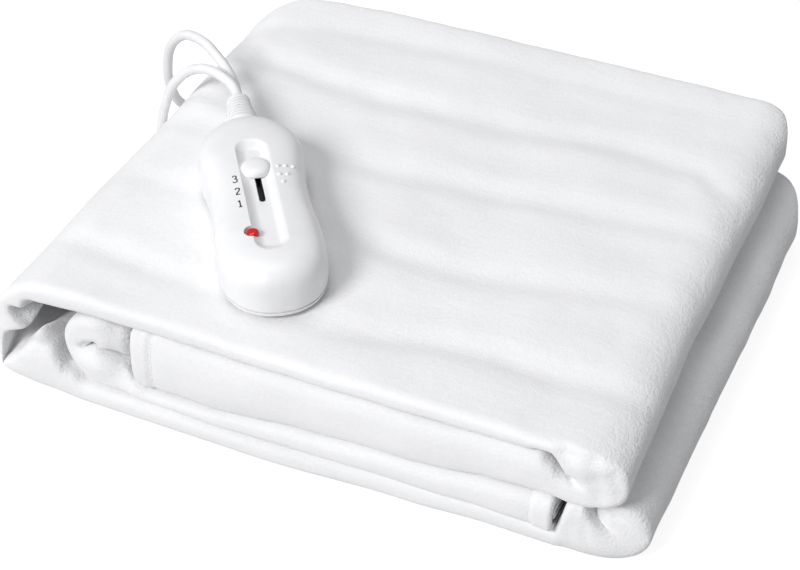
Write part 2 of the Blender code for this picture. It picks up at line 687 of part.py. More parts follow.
def make_inlet():
    """The moulded sleeve through which the second lead enters the cloth."""
    x, y, z = INLET_AT
    rows = [(0.3, 11.0, 4.6), (3.6, 11.0, 4.6), (4.6, 9.6, 4.4), (5.2, 6.4, 4.3),
            (8.0, 5.4, 4.2), (12.0, 4.6, 3.9), (16.0, 4.0, 3.6), (INLET_LENGTH, 3.6, 3.4)]
    loops = [oval_loop(y + out, half_x, half_z, 16, x, z) for out, half_x, half_z in rows]
    return loft("lead_inlet", loops, "white_cord", 35.0)


def rounded_box_loop(y, half_x, half_z, squareness, sides=24):
    loop = []
    for k in range(sides):
        angle = 2 * math.pi * (k + 0.5) / sides
        loop.append((half_x * power(math.cos(angle), 2.0 / squareness), y,
                     half_z * power(math.sin(angle), 2.0 / squareness)))
    return loop


def make_plug():
    """A slim two-pin plug lying flat, made along its own +y from the cord's end."""
    seat = bpy.data.objects.new("plug_seat", None)
    bpy.context.scene.collection.objects.link(seat)
    seat.location = Vector((*PLUG_AT, PLUG_AXIS_Z)) * MM
    seat.rotation_euler = (0.0, 0.0, math.radians(PLUG_TURN - 90.0))
    rows = [(0.0, 3.7, 3.7, 2.0), (7.0, 4.3, 4.1, 2.0), (14.0, 5.0, 4.6, 2.0),
            (20.0, 5.8, 5.2, 2.0), (PLUG_TAIL, 8.0, 5.8, 2.2), (PLUG_TAIL + 4.0, 11.5, 6.5, 2.6),
            (PLUG_TAIL + 12.0, 14.8, PLUG_HALF_HEIGHT, 3.2),
            (PLUG_TAIL + 22.0, PLUG_HALF_WIDTH, PLUG_HALF_HEIGHT, 4.0),
            (PLUG_TAIL + PLUG_BODY - 1.0, PLUG_HALF_WIDTH, PLUG_HALF_HEIGHT, 4.0),
            (PLUG_TAIL + PLUG_BODY, PLUG_HALF_WIDTH - 0.9, PLUG_HALF_HEIGHT - 0.9, 4.0)]
    body = loft("mains_plug", [rounded_box_loop(*row) for row in rows], "white_cord", 35.0)
    body.parent = seat
    pin_from = PLUG_TAIL + PLUG_BODY + GAP
    for side, label in ((-1, "left"), (1, "right")):
        loops = [oval_loop(pin_from + out, radius, radius, 12, side * PIN_SPACING / 2, 0.0)
                 for out, radius in ((0.0, PIN_RADIUS), (PIN_LENGTH - 1.4, PIN_RADIUS),
                                     (PIN_LENGTH - 0.4, PIN_RADIUS * 0.75), (PIN_LENGTH, 0.8))]
        pin = loft("plug_pin_" + label, loops, "pin_metal", 35.0)
        pin.parent = seat


def main():
    clear_scene()
    make_blanket()
    make_controller()
    make_tube("mains_lead", MAINS_ROUTE, CORD_SPACING)
    make_tube("plug_lead", PLUG_ROUTE, SHORT_SPACING)
    make_tube("blanket_lead", LEAD_ROUTE, CORD_SPACING)
    make_coil()
    make_inlet()
    make_plug()


main()
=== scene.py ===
"""Looks of a folded electric heated blanket with its hand controller and its two cords.

The blanket is one real sheet of fleece.  It is folded in half twice along its length into a
strip of four plies, and the strip is then folded over from both ends into five layers.  The
sheet is swept along that path here, with its four plies, its rolled edges and its hems, and
is then settled: heating channels sink in the top, and the ends of the folds crumple.

All sizes are in millimetres and turn into metres where a mesh is made.
"""
import math
from collections import namedtuple

import bmesh
import bpy
import numpy as np
from mathutils import Matrix, Vector, noise


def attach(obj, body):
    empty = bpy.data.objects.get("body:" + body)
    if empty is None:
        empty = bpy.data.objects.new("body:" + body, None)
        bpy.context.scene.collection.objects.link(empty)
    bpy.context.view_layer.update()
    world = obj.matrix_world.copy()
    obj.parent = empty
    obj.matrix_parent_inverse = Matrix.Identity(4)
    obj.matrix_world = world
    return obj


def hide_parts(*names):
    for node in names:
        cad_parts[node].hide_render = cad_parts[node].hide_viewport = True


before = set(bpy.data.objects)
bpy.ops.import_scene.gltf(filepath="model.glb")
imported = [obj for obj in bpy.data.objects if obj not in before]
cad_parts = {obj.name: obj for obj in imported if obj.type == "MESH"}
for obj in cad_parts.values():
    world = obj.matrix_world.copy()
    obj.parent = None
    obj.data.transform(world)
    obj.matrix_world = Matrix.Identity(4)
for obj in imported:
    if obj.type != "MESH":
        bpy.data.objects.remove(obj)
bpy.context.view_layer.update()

MM = 0.001
GAP = 0.3
MAIN = "blanket_and_controller"
SLIDER = "slider"

# ------------------------------------------------------------------ the folded strip
# The rows and folds are those of the solid, with more of their detail near the front.
LEFT_TIP = -199.5
RIGHT_TIP = 197.0
UPPER_RIGHT_TIP = 178.0
INNER_LEFT_TIP = -149.0
TOP = 78.0
BLEND_Y = -142.0
SPREAD_Y = -30.0
ROLL = 7.0                      # depth of the rounded front and back edges
EDGE_POWER = 2.6                # squareness of the front edge
BACK_ROUNDING = 0.8

Row = namedtuple("Row", "x low high low_f high_f front back")

LAYER_2 = [
    Row(-103, 45.8, 60.2, 24.5, 65.0, -175, 172),
    Row(-50, 45.8, 60.2, 27.0, 65.5, -176, 173),
    Row(0, 45.8, 60.2, 30.5, 66.0, -175, 177),
    Row(60, 45.8, 60.2, 34.5, 66.0, -174, 177.5),
    Row(110, 45.8, 60.2, 37.5, 66.0, -172, 174),
    Row(128, 45.8, 60.2, 38.4, 66.8, -172, 172),
    Row(136, 45.8, 60.2, 38.8, 67.4, -172, 171),
    Row(141, 45.8, 60.2, 39.0, 63.0, -172, 171),
    Row(146, 45.8, 60.2, 39.3, 57.4, -172, 170),
    Row(150, 45.8, 60.2, 39.5, 55.2, -172, 170),
]
LAYER_1 = [
    Row(150, 61.2, TOP - 0.05, 56.0, TOP - 0.05, -170, 171),
    Row(147.5, 61.2, TOP - 0.03, 60.0, TOP - 0.03, -170, 171),
    Row(144.5, 61.2, TOP - 0.01, 66.6, TOP - 0.01, -170, 171),
    Row(141, 61.2, TOP, 70.4, TOP, -170, 171),
    Row(135, 61.2, TOP, 70.4, TOP, -170, 171),
    Row(127, 61.2, TOP, 68.2, TOP, -170, 171),
    Row(110, 61.2, TOP, 67.0, TOP, -170, 171),
    Row(0, 61.2, TOP, 67.0, TOP, -172, 169),
    Row(-100, 61.2, TOP, 66.0, TOP, -173, 167),
    Row(-130, 61.6, TOP, 65.5, TOP, -173, 164),
    Row(-160, 61.0, TOP - 1.0, 64.0, TOP - 1.0, -174, 161),
]
LAYER_4 = [
    Row(-160, 0.0, 24.0, 0.0, 34.0, -177.5, 166),
    Row(-151, 0.0, 18.0, 0.0, 20.0, -177.5, 170),
    Row(-140, 0.0, 14.4, 0.0, 13.6, -177.5, 171),
    Row(-30, 0.0, 14.4, 0.0, 14.4, -177, 171.4),
    Row(60, 0.0, 14.4, 0.0, 14.6, -172, 171.4),
    Row(110, 0.0, 14.4, 0.0, 15.0, -169, 168),
    Row(145.5, 0.0, 14.4, 0.0, 16.0, -169, 157),
    Row(148, 0.0, 14.4, 0.0, 23.0, -169, 156),
    Row(151.5, 0.0, 14.4, 0.0, 36.5, -169, 154),
    Row(155, 0.0, 14.4, 0.0, 40.2, -169, 153),
    Row(160, 0.0, 14.4, 0.0, 40.6, -169, 151),
]
HIDDEN_LAYER = [
    Row(160, 30.6, 44.8, 41.3, 44.0, -161, 150),
    Row(153, 30.6, 44.8, 41.0, 44.4, -154, 154),
    Row(146, 30.6, 44.8, 38.0, 44.6, -149, 158),
    Row(60, 30.6, 44.8, 30.6, 44.8, -148, 171),
    Row(-98, 30.6, 44.8, 30.6, 44.8, -148, 171),
    Row(-105, 33.0, 48.0, 33.0, 48.0, -152, 171),
    Row(-112, 36.0, 55.0, 35.0, 57.0, -167, 170),
    Row(-128, 38.4, 59.6, 40.5, 62.0, -172, 169),
]
LAYER_3 = [
    Row(-128, 15.5, 37.0, 14.8, 39.0, -175, 169),
    Row(-113, 15.5, 33.6, 14.8, 33.5, -175, 170),
    Row(-105, 15.4, 31.0, 14.9, 27.0, -176, 171),
    Row(-98, 15.4, 29.6, 15.0, 23.4, -176, 171),
    Row(0, 15.4, 29.6, 15.6, 29.3, -176, 172),
    Row(60, 15.4, 29.6, 15.8, 33.4, -175, 172),
    Row(110, 15.4, 29.6, 16.2, 36.4, -174, 171),
    Row(143, 15.4, 29.6, 16.8, 37.6, -174, 170),
]

Fold = namedtuple("Fold", "tip front_tip inner_tip inner_front_tip low_power high_power "
                          "inner_power front_in back_in back_power lean steps")

UPPER_RIGHT_FOLD = Fold(UPPER_RIGHT_TIP, UPPER_RIGHT_TIP + 4.5, 162.0, 152.0, 2.5, 2.4, 2.0,
                        2.0, 20.0, 5.0, -2.0, 40)
LEFT_FOLD = Fold(LEFT_TIP, LEFT_TIP, -185.5, -185.5, 4.2, 2.0, 2.6, 3.0, 29.0, 1.2, -5.0, 72)
LOWER_RIGHT_FOLD = Fold(RIGHT_TIP, RIGHT_TIP - 1.5, 181.0, 162.0, 2.4, 2.2, 2.2,
                        4.0, 25.0, 5.0, -1.0, 44)
INNER_LEFT_FOLD = Fold(INNER_LEFT_TIP, INNER_LEFT_TIP - 4.0, -132.0, -129.6, 2.1, 2.1, 2.0,
                       2.5, 4.0, 2.0, 2.0, 36)

# ------------------------------------------------------------------ the cloth
PLY = 2.6                       # thickness of one ply of fleece
PLY_SHARE = 0.22                # and its share of the strip where the strip is thin
HIDDEN_PLY = 0.625              # how far out the third ply lies in the strip
FREE_EDGE_IN = 2.4              # how far the two free edges lie inside the back
LAST_EDGE_IN = 5.2
OUTER_COLUMNS = 62              # columns of the ply that lies outermost
INNER_COLUMNS = 34              # columns of the ply on the inside of the folds
HIDDEN_COLUMNS = 9              # columns of each of the two plies between them
ROLL_COLUMNS = 19               # columns round the front edge
HIDDEN_ROLL_COLUMNS = 5
BACK_COLUMNS = 7
HEM_DEPTH = 9.5                 # from a hemmed edge to its stitches
HEM_SWELL = 0.7                 # the hem is this much fuller on each face
HEM_BLEND = 3.0
# The full edge of a hemmed end: how far out, and how much fuller than the strip.
HEM_TIP = ((2.9, -1.7), (2.5, -0.7), (1.5, HEM_SWELL * 0.8))
# The hem of the free edge at the back: places from the edge, and how far they sink in plies.
FREE_HEM = (0.0, 0.6, 2.0, 6.0, 9.0, 10.4, 11.8, 15.0)
FREE_HEM_SINK = (0.3, 0.0, 0.0, 0.0, 0.0, 0.3, 0.05, 0.0)
FREE_HEM_THIN = (0.42, 0.86)
FREE_HEM_STITCHES = 5           # the column of its stitches
FREE_HEM_END = 18.5
STITCH_SINK = 0.9
STITCH_WIDTH = 1.1
TOP_SHAG = 0.6                  # how rough the pile is where it lies flat
RIM_SHAG = 2.4                  # and how much rougher where the folds turn to the right
STITCH_PITCH = 4.4
STITCH_LENGTH = 3.0
THREAD_RADIUS = 0.32
THREAD_SIDES = 6
THREAD_ARCH = 0.55
THREAD_SUNK = 0.25

# The cloth as it lies: sizes and heights of its waves, and where it is free to move.
WAVES = ((62.0, 1.5), (23.0, 0.55), (9.0, 0.22))
WAVE_SEED = 1                   # without a seed the soft waves would be new in each run
CHANNEL_FROM_Z = 57.0
CHANNEL_BLEND = 19.0
FLOOR_BLEND = 14.0

# A stretch of a layer: from, to, and the distance between its sections.
Stretch = namedtuple("Stretch", "start end pitch")

# A heating channel of the top: a line of places, its depth and its half width.
Channel = namedtuple("Channel", "places depths width")
CHANNELS = [
    Channel([(-200, -122), (-142, -129), (-116, -131), (-68, -134), (-18, -135), (25, -130),
             (60, -122), (93, -119), (171, -119)],
            [(-200, 0.6), (-142, 3.4), (-100, 3.0), (-40, 1.4), (25, 3.0), (100, 3.4),
             (160, 2.2), (176, 0.6)], 9.0),
    Channel([(-200, -58), (-13, -62.5), (27, -62.5), (63, -60), (101, -52), (151, -43)],
            [(-200, 1.0), (-120, 1.6), (-13, 3.0), (40, 2.6), (101, 2.6), (151, 1.4), (176, 0.4)],
            10.0),
    Channel([(-200, 2), (-34, 3), (8, 11), (99, 19), (152, 25)],
            [(-200, 1.0), (-100, 1.6), (-34, 2.6), (99, 3.0), (152, 2.0), (176, 0.4)], 10.0),
    Channel([(-200, 88), (-153, 81), (-103, 76), (-54, 74), (26, 77), (75, 86), (107, 87),
             (140, 82), (159, 69)],
            [(-200, 1.4), (-153, 3.2), (-54, 3.0), (26, 2.6), (107, 3.2), (159, 1.6), (176, 0.4)],
            10.0),
    Channel([(-200, 112), (-183, 117), (-132, 133), (-47, 139), (60, 140), (170, 138)],
            [(-200, 0.8), (-132, 2.0), (-47, 1.8), (60, 1.2), (170, 0.6)], 9.0),
]

# A crease of the front: a line from (x, z) to (x, z), how far it pushes the cloth back, and
# its half width.  A negative depth is a ridge that stands forward.
Crease = namedtuple("Crease", "x z to_x to_z depth width")
CREASE_FADE_Y = -172.0
CREASE_FADE = 55.0
CREASES = [
    # upper right fold
    Crease(148, 75, 164, 74, 1.2, 2.8),
    Crease(164, 74, 179, 71, 1.0, 2.8),
    Crease(157, 67, 163, 56, -1.4, 5.0),
    Crease(166, 62, 169, 49, 1.4, 3.4),
    Crease(174, 66, 179, 55, 1.3, 3.2),
    # lower right fold
    Crease(168, 40, 178, 31, 2.2, 2.4),
    Crease(162, 26, 163, 16, 0.9, 2.8),
    Crease(153, 37, 150, 22, -1.2, 4.0),
    Crease(172, 28, 180, 22, -1.4, 4.5),
    Crease(181, 27, 191, 21, 1.3, 3.2),
    # inner left fold
    Crease(-139, 40, -129, 46, 1.8, 2.6),
    Crease(-121, 40, -113, 30, 2.2, 5.5),
    Crease(-136, 52, -120, 55, 0.8, 4.0),
    Crease(-137, 31, -124, 33, -1.4, 5.5),
]

# The front line of the hollow in a fold: from where it starts to its deepest corner, and from
# there back to where it ends, with the share of the fold at which the corner lies.
Hollow = namedtuple("Hollow", "corner to_corner from_corner")
HOLLOWS = {
    # from the ceiling over the low left corner, where the wall runs out, and up on the floor layer
    "left_fold": Hollow(0.74, [
        (-160.0, 64.0), (-171.0, 63.0), (-180.0, 59.0), (-186.0, 50.0), (-189.5, 38.0),
        (-192.5, 24.0), (-195.3, 10.5)], [
        (-195.3, 10.5), (-189.0, 16.0), (-182.0, 22.5), (-175.0, 29.0), (-169.0, 34.5),
        (-160.0, 34.0)]),
    # narrow wedges between the two halves of the folds on the right, and a slit on the left
    "lower_right": Hollow(0.5, [
        (160.0, 40.6), (161.4, 36.0), (162.4, 30.0), (162.8, 24.5)], [
        (162.8, 24.5), (163.9, 30.0), (164.0, 36.0), (160.0, 41.3)]),
    "upper_right": Hollow(0.5, [
        (150.0, 55.2), (150.9, 54.6), (151.5, 53.8)], [
        (151.5, 53.8), (151.5, 55.0), (150.0, 56.0)]),
    "inner_left": Hollow(0.5, [
        (-128.0, 40.5), (-131.5, 42.2), (-135.0, 41.0), (-138.0, 37.8)], [
        (-138.0, 37.8), (-135.0, 39.2), (-131.5, 40.2), (-128.0, 39.0)]),
}

# A pleat inside the tall left fold: places (share of the fold, y) at its two ends, how far
# it stands into the hollow, its half width as a share of the fold, and how far back it runs.
Pleat = namedtuple("Pleat", "share depth_y to_share to_depth_y height width")
PLEAT_RISE = 12.0               # distance over which a pleat rises behind the rim
PLEAT_FADE = 45.0               # and runs out at its far end
PLEAT_REACH_X = -125.0          # how far the pleats reach along the layers
PLEAT_SCALE = 110.0             # length of layer that counts as one whole fold
NO_PLEAT = -9.0
PLEATS = [
    Pleat(0.22, -176, 0.10, -120, 6.5, 0.050),
    Pleat(0.44, -176, 0.26, -110, 12.0, 0.066),
    Pleat(0.10, -164, 0.02, -100, 15.0, 0.075),
    Pleat(0.89, -176, 0.99, -120, 8.0, 0.045),
    Pleat(1.13, -172, 1.20, -120, 5.0, 0.060),
]

# ------------------------------------------------------------------ the controller
CONTROLLER_AT = (-71.9, -76.2)
CONTROLLER_TURN = 35.5
CONTROLLER_BASE = TOP + GAP
HALF_LENGTH = 79.5
HALF_WIDTH = 31.4
PARTING = 3.6
HOUSING_TOP = 31.0
Width = namedtuple("Width", "y half")
OUTLINE = [
    Width(-79.5, 0.0), Width(-78.6, 8.0), Width(-75.8, 15.0), Width(-70.8, 21.5),
    Width(-63.0, 26.8), Width(-54.0, 29.6), Width(-42.0, 30.4), Width(-28.0, 30.0),
    Width(-12.0, 28.6), Width(6.0, 28.0), Width(22.0, 29.0), Width(36.0, 31.0),
    Width(47.0, 31.4), Width(57.0, 29.4), Width(66.0, 24.4), Width(73.2, 17.2),
    Width(77.8, 9.0), Width(79.5, 0.0),
]
OUTLINE_COUNT = 240             # points round each ring of the housings
Level = namedtuple("Level", "z inset")
UPPER_LEVELS = [
    Level(PARTING + GAP, 0.7), Level(5.6, 0.1), Level(14.0, 0.0), Level(19.5, 0.5),
    Level(23.5, 2.0), Level(26.6, 4.6), Level(28.6, 8.0), Level(29.9, 12.5),
    Level(30.7, 18.5), Level(HOUSING_TOP, 25.0),
]
WIDEST_LEVEL = 2                # from here on the upper housing only draws in
SHOULDER_INSET = 8.0            # from here inwards its rings turn into the recess's shape
LOWER_LEVELS = [Level(0.0, 3.2), Level(0.8, 1.4), Level(2.0, 0.5), Level(PARTING, 0.3)]
RECESS_HALF = 9.8
RECESS_TOP_Y = 46.5
RECESS_BOTTOM_Y = -57.0
RECESS_FLOOR = 27.6
# How wide the recess's wall is seen from above: a steep left side and a soft right side.
WALL_LEFT = 6.2
WALL_RIGHT = 6.0
WALL_TOP = 8.0
WALL_BOTTOM = 8.0
SLOT_HALF = 1.8
SLOT_BOTTOM_Y = -10.1
SLOT_TOP_Y = 22.1
SLOT_DEPTH = 5.0
KNOB_Y = 19.5
KNOB_RADIUS = 8.7
KNOB_HEIGHT = 4.6
# Profiles of round pieces: (share of the radius, height), upwards from the foot.
KNOB_PROFILE = [(0.95, 0.0), (0.985, 0.05), (1.0, 0.16), (0.99, 0.34), (0.94, 0.56),
                (0.84, 0.75), (0.66, 0.89), (0.4, 0.97), (0.2, 0.995), (0.03, 1.0)]
LENS_PROFILE = [(1.0, 0.0), (1.0, 3.3), (0.96, 3.7), (0.85, 4.0), (0.62, 4.2), (0.3, 4.3),
                (0.04, 4.32)]
DOT_PROFILE = [(1.0, -0.4), (0.97, 0.15), (0.85, 0.5), (0.6, 0.78), (0.3, 0.92), (0.05, 0.96)]
LENS_AT = (-9.6, -39.9)
LENS_RADIUS = 3.35
LENS_PIT_AT = (-10.0, -38.9)
LENS_PIT_RADIUS = 4.2
LENS_PIT_FLOOR = 26.9
BOOT_Z = 14.75
BOOT_IN = 4.0
BOOT_END_Y = 106.5
BOOT_NECK = (6.2, 4.6)          # half width and half height
BOOT_SKIRT = [(0.8, 6.2, 4.6), (1.0, 8.9, 7.2), (1.6, 9.7, 7.8), (2.6, 10.2, 8.2),
              (4.2, 10.2, 8.2), (5.2, 9.9, 8.0), (5.9, 9.0, 7.3)]
BOOT_BASE = (9.6, 8.0)
BOOT_TIP = (7.5, 7.4)
BOOT_RIBS_Y = 86.0
BOOT_RIBS = 6
RIB_PROUD = 3.0
# One rib and the groove after it: (share of the pitch, how far drawn in).
RIB_PROFILE = [(0.0, 0.7), (0.06, 0.25), (0.15, 0.03), (0.25, 0.0), (0.36, 0.03),
               (0.45, 0.25), (0.51, 0.7), (0.58, 0.97), (0.75, 1.0), (0.92, 0.97)]

# Each printed digit: its middle, and its strokes as points from that middle.
Digit = namedtuple("Digit", "text x y strokes")
DIGITS = [
    Digit("3", -13.4, 9.4, [
        [(-1.25, 1.75), (-0.85, 2.4), (0.05, 2.65), (0.95, 2.35), (1.25, 1.6), (1.0, 0.8),
         (0.3, 0.35), (-0.3, 0.3)],
        [(-0.3, 0.3), (0.55, 0.15), (1.25, -0.35), (1.45, -1.2), (1.1, -2.15), (0.15, -2.65),
         (-0.9, -2.45), (-1.4, -1.75)]]),
    Digit("2", -13.1, -2.0, [
        [(-1.3, 1.4), (-1.05, 2.25), (-0.15, 2.65), (0.8, 2.4), (1.25, 1.65), (1.1, 0.8),
         (0.35, -0.25), (-0.6, -1.35), (-1.4, -2.5)],
        [(-1.4, -2.5), (0.0, -2.5), (1.4, -2.5)]]),
    Digit("1", -13.4, -13.5, [
        [(-0.9, 1.7), (-0.2, 2.15), (0.25, 2.65)],
        [(0.25, 2.65), (0.25, 0.0), (0.25, -2.5)],
        [(-0.9, -2.5), (0.25, -2.5), (1.35, -2.5)]]),
]
INK_WIDTH = 0.76
INK_STRETCH = (0.84, 1.14)      # the digits are narrow and tall
INK_RISE = 0.06
DOTS = [(12.4, 17.2), (16.7, 17.2), (21.0, 17.2), (12.2, 9.4), (16.7, 9.4), (13.4, 2.4)]
DOT_RADIUS = 1.45

# ------------------------------------------------------------------ the cords
CORD = 6.5
FLOOR_Z = CORD / 2 + 0.2
MAINS_ROUTE = [
    (-134.2, 11.1, 89.6), (-138.6, 18.2, 90.6), (-145.6, 27.6, 92.6), (-157.2, 38.3, 95.0),
    (-167.6, 44.6, 98.0), (-178.0, 50.7, 99.8), (-189.2, 56.2, 98.7), (-199.7, 61.2, 94.5),
    (-210.2, 65.4, 85.3), (-216.9, 68.1, 74.2), (-220.2, 69.8, 62.9), (-221.8, 71.1, 50.4),
    (-222.0, 74.6, 37.0), (-222.0, 80.8, 24.9), (-221.5, 91.0, 13.6), (-220.5, 104.0, 6.2),
    (-219.5, 119.0, FLOOR_Z), (-218.5, 136.0, FLOOR_Z), (-217.0, 156.0, FLOOR_Z),
    (-216.5, 178.0, FLOOR_Z), (-215.0, 200.0, FLOOR_Z), (-209.0, 221.0, FLOOR_Z),
    (-197.0, 238.0, FLOOR_Z), (-178.5, 248.6, FLOOR_Z), (-155.0, 252.2, FLOOR_Z),
    (-125.0, 252.6, FLOOR_Z), (-100.0, 252.6, FLOOR_Z), (-77.9, 252.6, FLOOR_Z),
]
PLUG_ROUTE = [
    (-32.1, 252.6, FLOOR_Z + CORD), (-27.0, 252.6, 9.8), (-19.9, 251.3, 9.5),
    (-12.6, 247.5, 9.1), (-7.0, 241.6, 8.6), (-1.3, 235.7, 8.1), (5.9, 231.9, 7.6),
    (14.0, 230.6, 7.1), (20.7, 230.6, 7.1),
]
LEAD_ROUTE = [
    (-134.4, 11.5, 96.5), (-137.2, 14.8, 97.0), (-141.4, 18.6, 98.1), (-148.0, 21.9, 99.1),
    (-158.4, 26.6, 98.8), (-170.8, 30.6, 95.5), (-181.9, 32.8, 88.8), (-190.9, 33.2, 79.5),
    (-196.7, 32.8, 69.7), (-200.8, 31.7, 57.5), (-203.6, 31.0, 45.6), (-205.4, 31.0, 33.5),
    (-206.2, 33.3, 21.9), (-206.6, 39.7, 12.3), (-207.0, 49.3, 6.0), (-207.0, 61.5, FLOOR_Z),
    (-207.0, 85.0, FLOOR_Z), (-207.0, 110.0, FLOOR_Z), (-206.6, 136.0, FLOOR_Z),
    (-205.0, 161.0, FLOOR_Z), (-199.0, 183.0, FLOOR_Z), (-188.0, 202.0, FLOOR_Z),
    (-173.0, 217.0, 3.9), (-156.0, 226.0, 5.8), (-139.5, 228.6, 9.7), (-125.6, 223.6, 15.5),
    (-117.2, 213.6, 20.8), (-114.3, 202.6, 24.0), (-114.0, 191.2, 24.4),
]
CORD_START = 2.0                # how far a cord reaches back into the boot
COIL_AT = (-55.0, 214.0)
COIL_OUTER = 38.6               # radius of the outermost turns
COIL_TURNS = 6                  # half of them inwards below, half outwards above
COIL_PITCH = 6.6
COIL_RISE = 90.0                # degrees in which the lead climbs to the upper turns
COIL_ROUNDING = 0.1             # how gently it turns back outwards, in turns
COIL_STEP = 6.0                 # degrees between its points

# ------------------------------------------------------------------ finishes and studio
FLEECE_ROUGHNESS = 0.96
FLEECE_BUMP = 0.75
PLASTIC_BUMP = 0.35
TONE_STOPS = (0.3, 0.75)        # where the two tones of a finish start and end
Fleece = namedtuple("Fleece", "dark light tuft depth")
FLEECES = {
    "white_fleece": Fleece((0.80, 0.80, 0.81), (0.905, 0.905, 0.91), 1.6, 0.62),
    "white_thread": Fleece((0.74, 0.74, 0.75), (0.86, 0.86, 0.87), 0.35, 0.1),
}
Plastic = namedtuple("Plastic", "dark light gloss handling grain depth")
PLASTICS = {
    "white_housing": Plastic((0.83, 0.83, 0.842), (0.87, 0.87, 0.878), 0.34, 0.12, 0.45, 0.02),
    "white_knob": Plastic((0.85, 0.85, 0.86), (0.88, 0.88, 0.885), 0.34, 0.10, 0.45, 0.02),
    "white_cord": Plastic((0.80, 0.80, 0.81), (0.85, 0.85, 0.855), 0.42, 0.16, 0.7, 0.03),
    "black_liner": Plastic((0.010, 0.010, 0.011), (0.018, 0.018, 0.019), 0.45, 0.15, 0.5, 0.03),
    "black_ink": Plastic((0.006, 0.006, 0.006), (0.010, 0.010, 0.010), 0.6, 0.1, 0.4, 0.01),
    "red_lens": Plastic((0.50, 0.003, 0.002), (0.64, 0.008, 0.005), 0.22, 0.05, 1.2, 0.02),
    "plated_pin": Plastic((0.60, 0.60, 0.58), (0.74, 0.74, 0.71), 0.22, 0.15, 0.3, 0.01),
}

FLOOR_HALF = 6.0
FLOOR_HEIGHT = -0.0004
FLOOR_GREY = (0.62, 0.62, 0.62, 1.0)        # what the floor sends back to the piece
FLOOR_SEEN = (0.30, 0.30, 0.30, 1.0)        # what takes the shadow in the camera's view
FLOOR_GLOW = 0.86
AIR = (0.97, 0.98, 1.0, 1.0)
AIR_STRENGTH = 0.34
WHITE = (1.0, 1.0, 1.0, 1.0)
LAMP_AIM = (0.0, 0.0, 0.04)
Lamp = namedtuple("Lamp", "name direction distance size watts")
LAMPS = [
    Lamp("key_lamp", (-0.31, -0.70, 0.62), 6.0, 2.2, 262.0),
    Lamp("top_lamp", (-0.22, 0.16, 1.0), 5.0, 2.6, 62.0),
]
CAMERA_AT = (0.3455, -0.802, 0.75)
CAMERA_TILT = 49.4
CAMERA_HEADING = 24.5
CAMERA_LENS = 83.7


# ==================================================================== small tools
def smooth_step(t):
    t = np.clip(t, 0.0, 1.0)
    return t * t * (3.0 - 2.0 * t)


def power(value, exponent):
    return math.copysign(abs(value) ** exponent, value)


def between(a, b, t):
    return a + (b - a) * t


def catmull_rom(points, steps):
    """Points on a smooth curve through the given points."""
    ends = [[2 * p - q for p, q in zip(points[0], points[1])],
            [2 * p - q for p, q in zip(points[-1], points[-2])]]
    through = [ends[0], *points, ends[1]]
    curve = []
    for p0, p1, p2, p3 in zip(through, through[1:], through[2:], through[3:]):
        for k in range(steps):
            t = k / steps
            curve.append(tuple(
                0.5 * (2 * b + (c - a) * t + (2 * a - 5 * b + 4 * c - d) * t * t
                       + (3 * b - a - 3 * c + d) * t ** 3)
                for a, b, c, d in zip(p0, p1, p2, p3)))
    curve.append(tuple(points[-1]))
    return curve


def evenly(points, spacing):
    """The same curve with points about a spacing apart, both ends kept."""
    lengths = [0.0]
    for p, q in zip(points, points[1:]):
        lengths.append(lengths[-1] + math.dist(p, q))
    count = max(2, round(lengths[-1] / spacing))
    spread = []
    k = 0
    for i in range(count + 1):
        target = lengths[-1] * i / count
        while k < len(points) - 2 and lengths[k + 1] < target:
            k += 1
        t = (target - lengths[k]) / (lengths[k + 1] - lengths[k])
        spread.append(tuple(between(a, b, t) for a, b in zip(points[k], points[k + 1])))
    return spread


def circle(sides):
    turns = (2 * math.pi * k / sides for k in range(sides))
    return [(math.cos(turn), math.sin(turn)) for turn in turns]


def new_object(name, data):
    thing = bpy.data.objects.new(name, data)
    bpy.context.scene.collection.objects.link(thing)
    return thing


def add_mesh(name, points, faces, material, smooth=True):
    """A mesh object from points in millimetres."""
    mesh = bpy.data.meshes.new(name)
    mesh.from_pydata([tuple(c * MM for c in p) for p in points], [], faces)
    mesh.validate()
    if smooth:
        mesh.shade_smooth()
    if material is not None:
        mesh.materials.append(material)
    return new_object(name, mesh)


def face_outwards(thing):
    bm = bmesh.new()
    bm.from_mesh(thing.data)
    bmesh.ops.recalc_face_normals(bm, faces=bm.faces)
    bm.to_mesh(thing.data)
    bm.free()


def add_loops(points, faces, loops):
    """Adds a closed skin over loops of equally many points."""
    base = len(points)
    count = len(loops[0])
    for loop in loops:
        points.extend(tuple(p) for p in loop)
    for row in range(len(loops) - 1):
        for i in range(count):
            j = (i + 1) % count
            faces.append((base + row * count + i, base + row * count + j,
                          base + (row + 1) * count + j, base + (row + 1) * count + i))
    faces.append(tuple(base + i for i in reversed(range(count))))
    faces.append(tuple(base + (len(loops) - 1) * count + i for i in range(count)))


def loft(name, loops, material, sharp_angle=None):
    """A mesh object that is one closed skin."""
    points, faces = [], []
    add_loops(points, faces, loops)
    thing = add_mesh(name, points, faces, material)
    face_outwards(thing)
    if sharp_angle is not None:
        thing.data.set_sharp_from_angle(angle=math.radians(sharp_angle))
    return thing


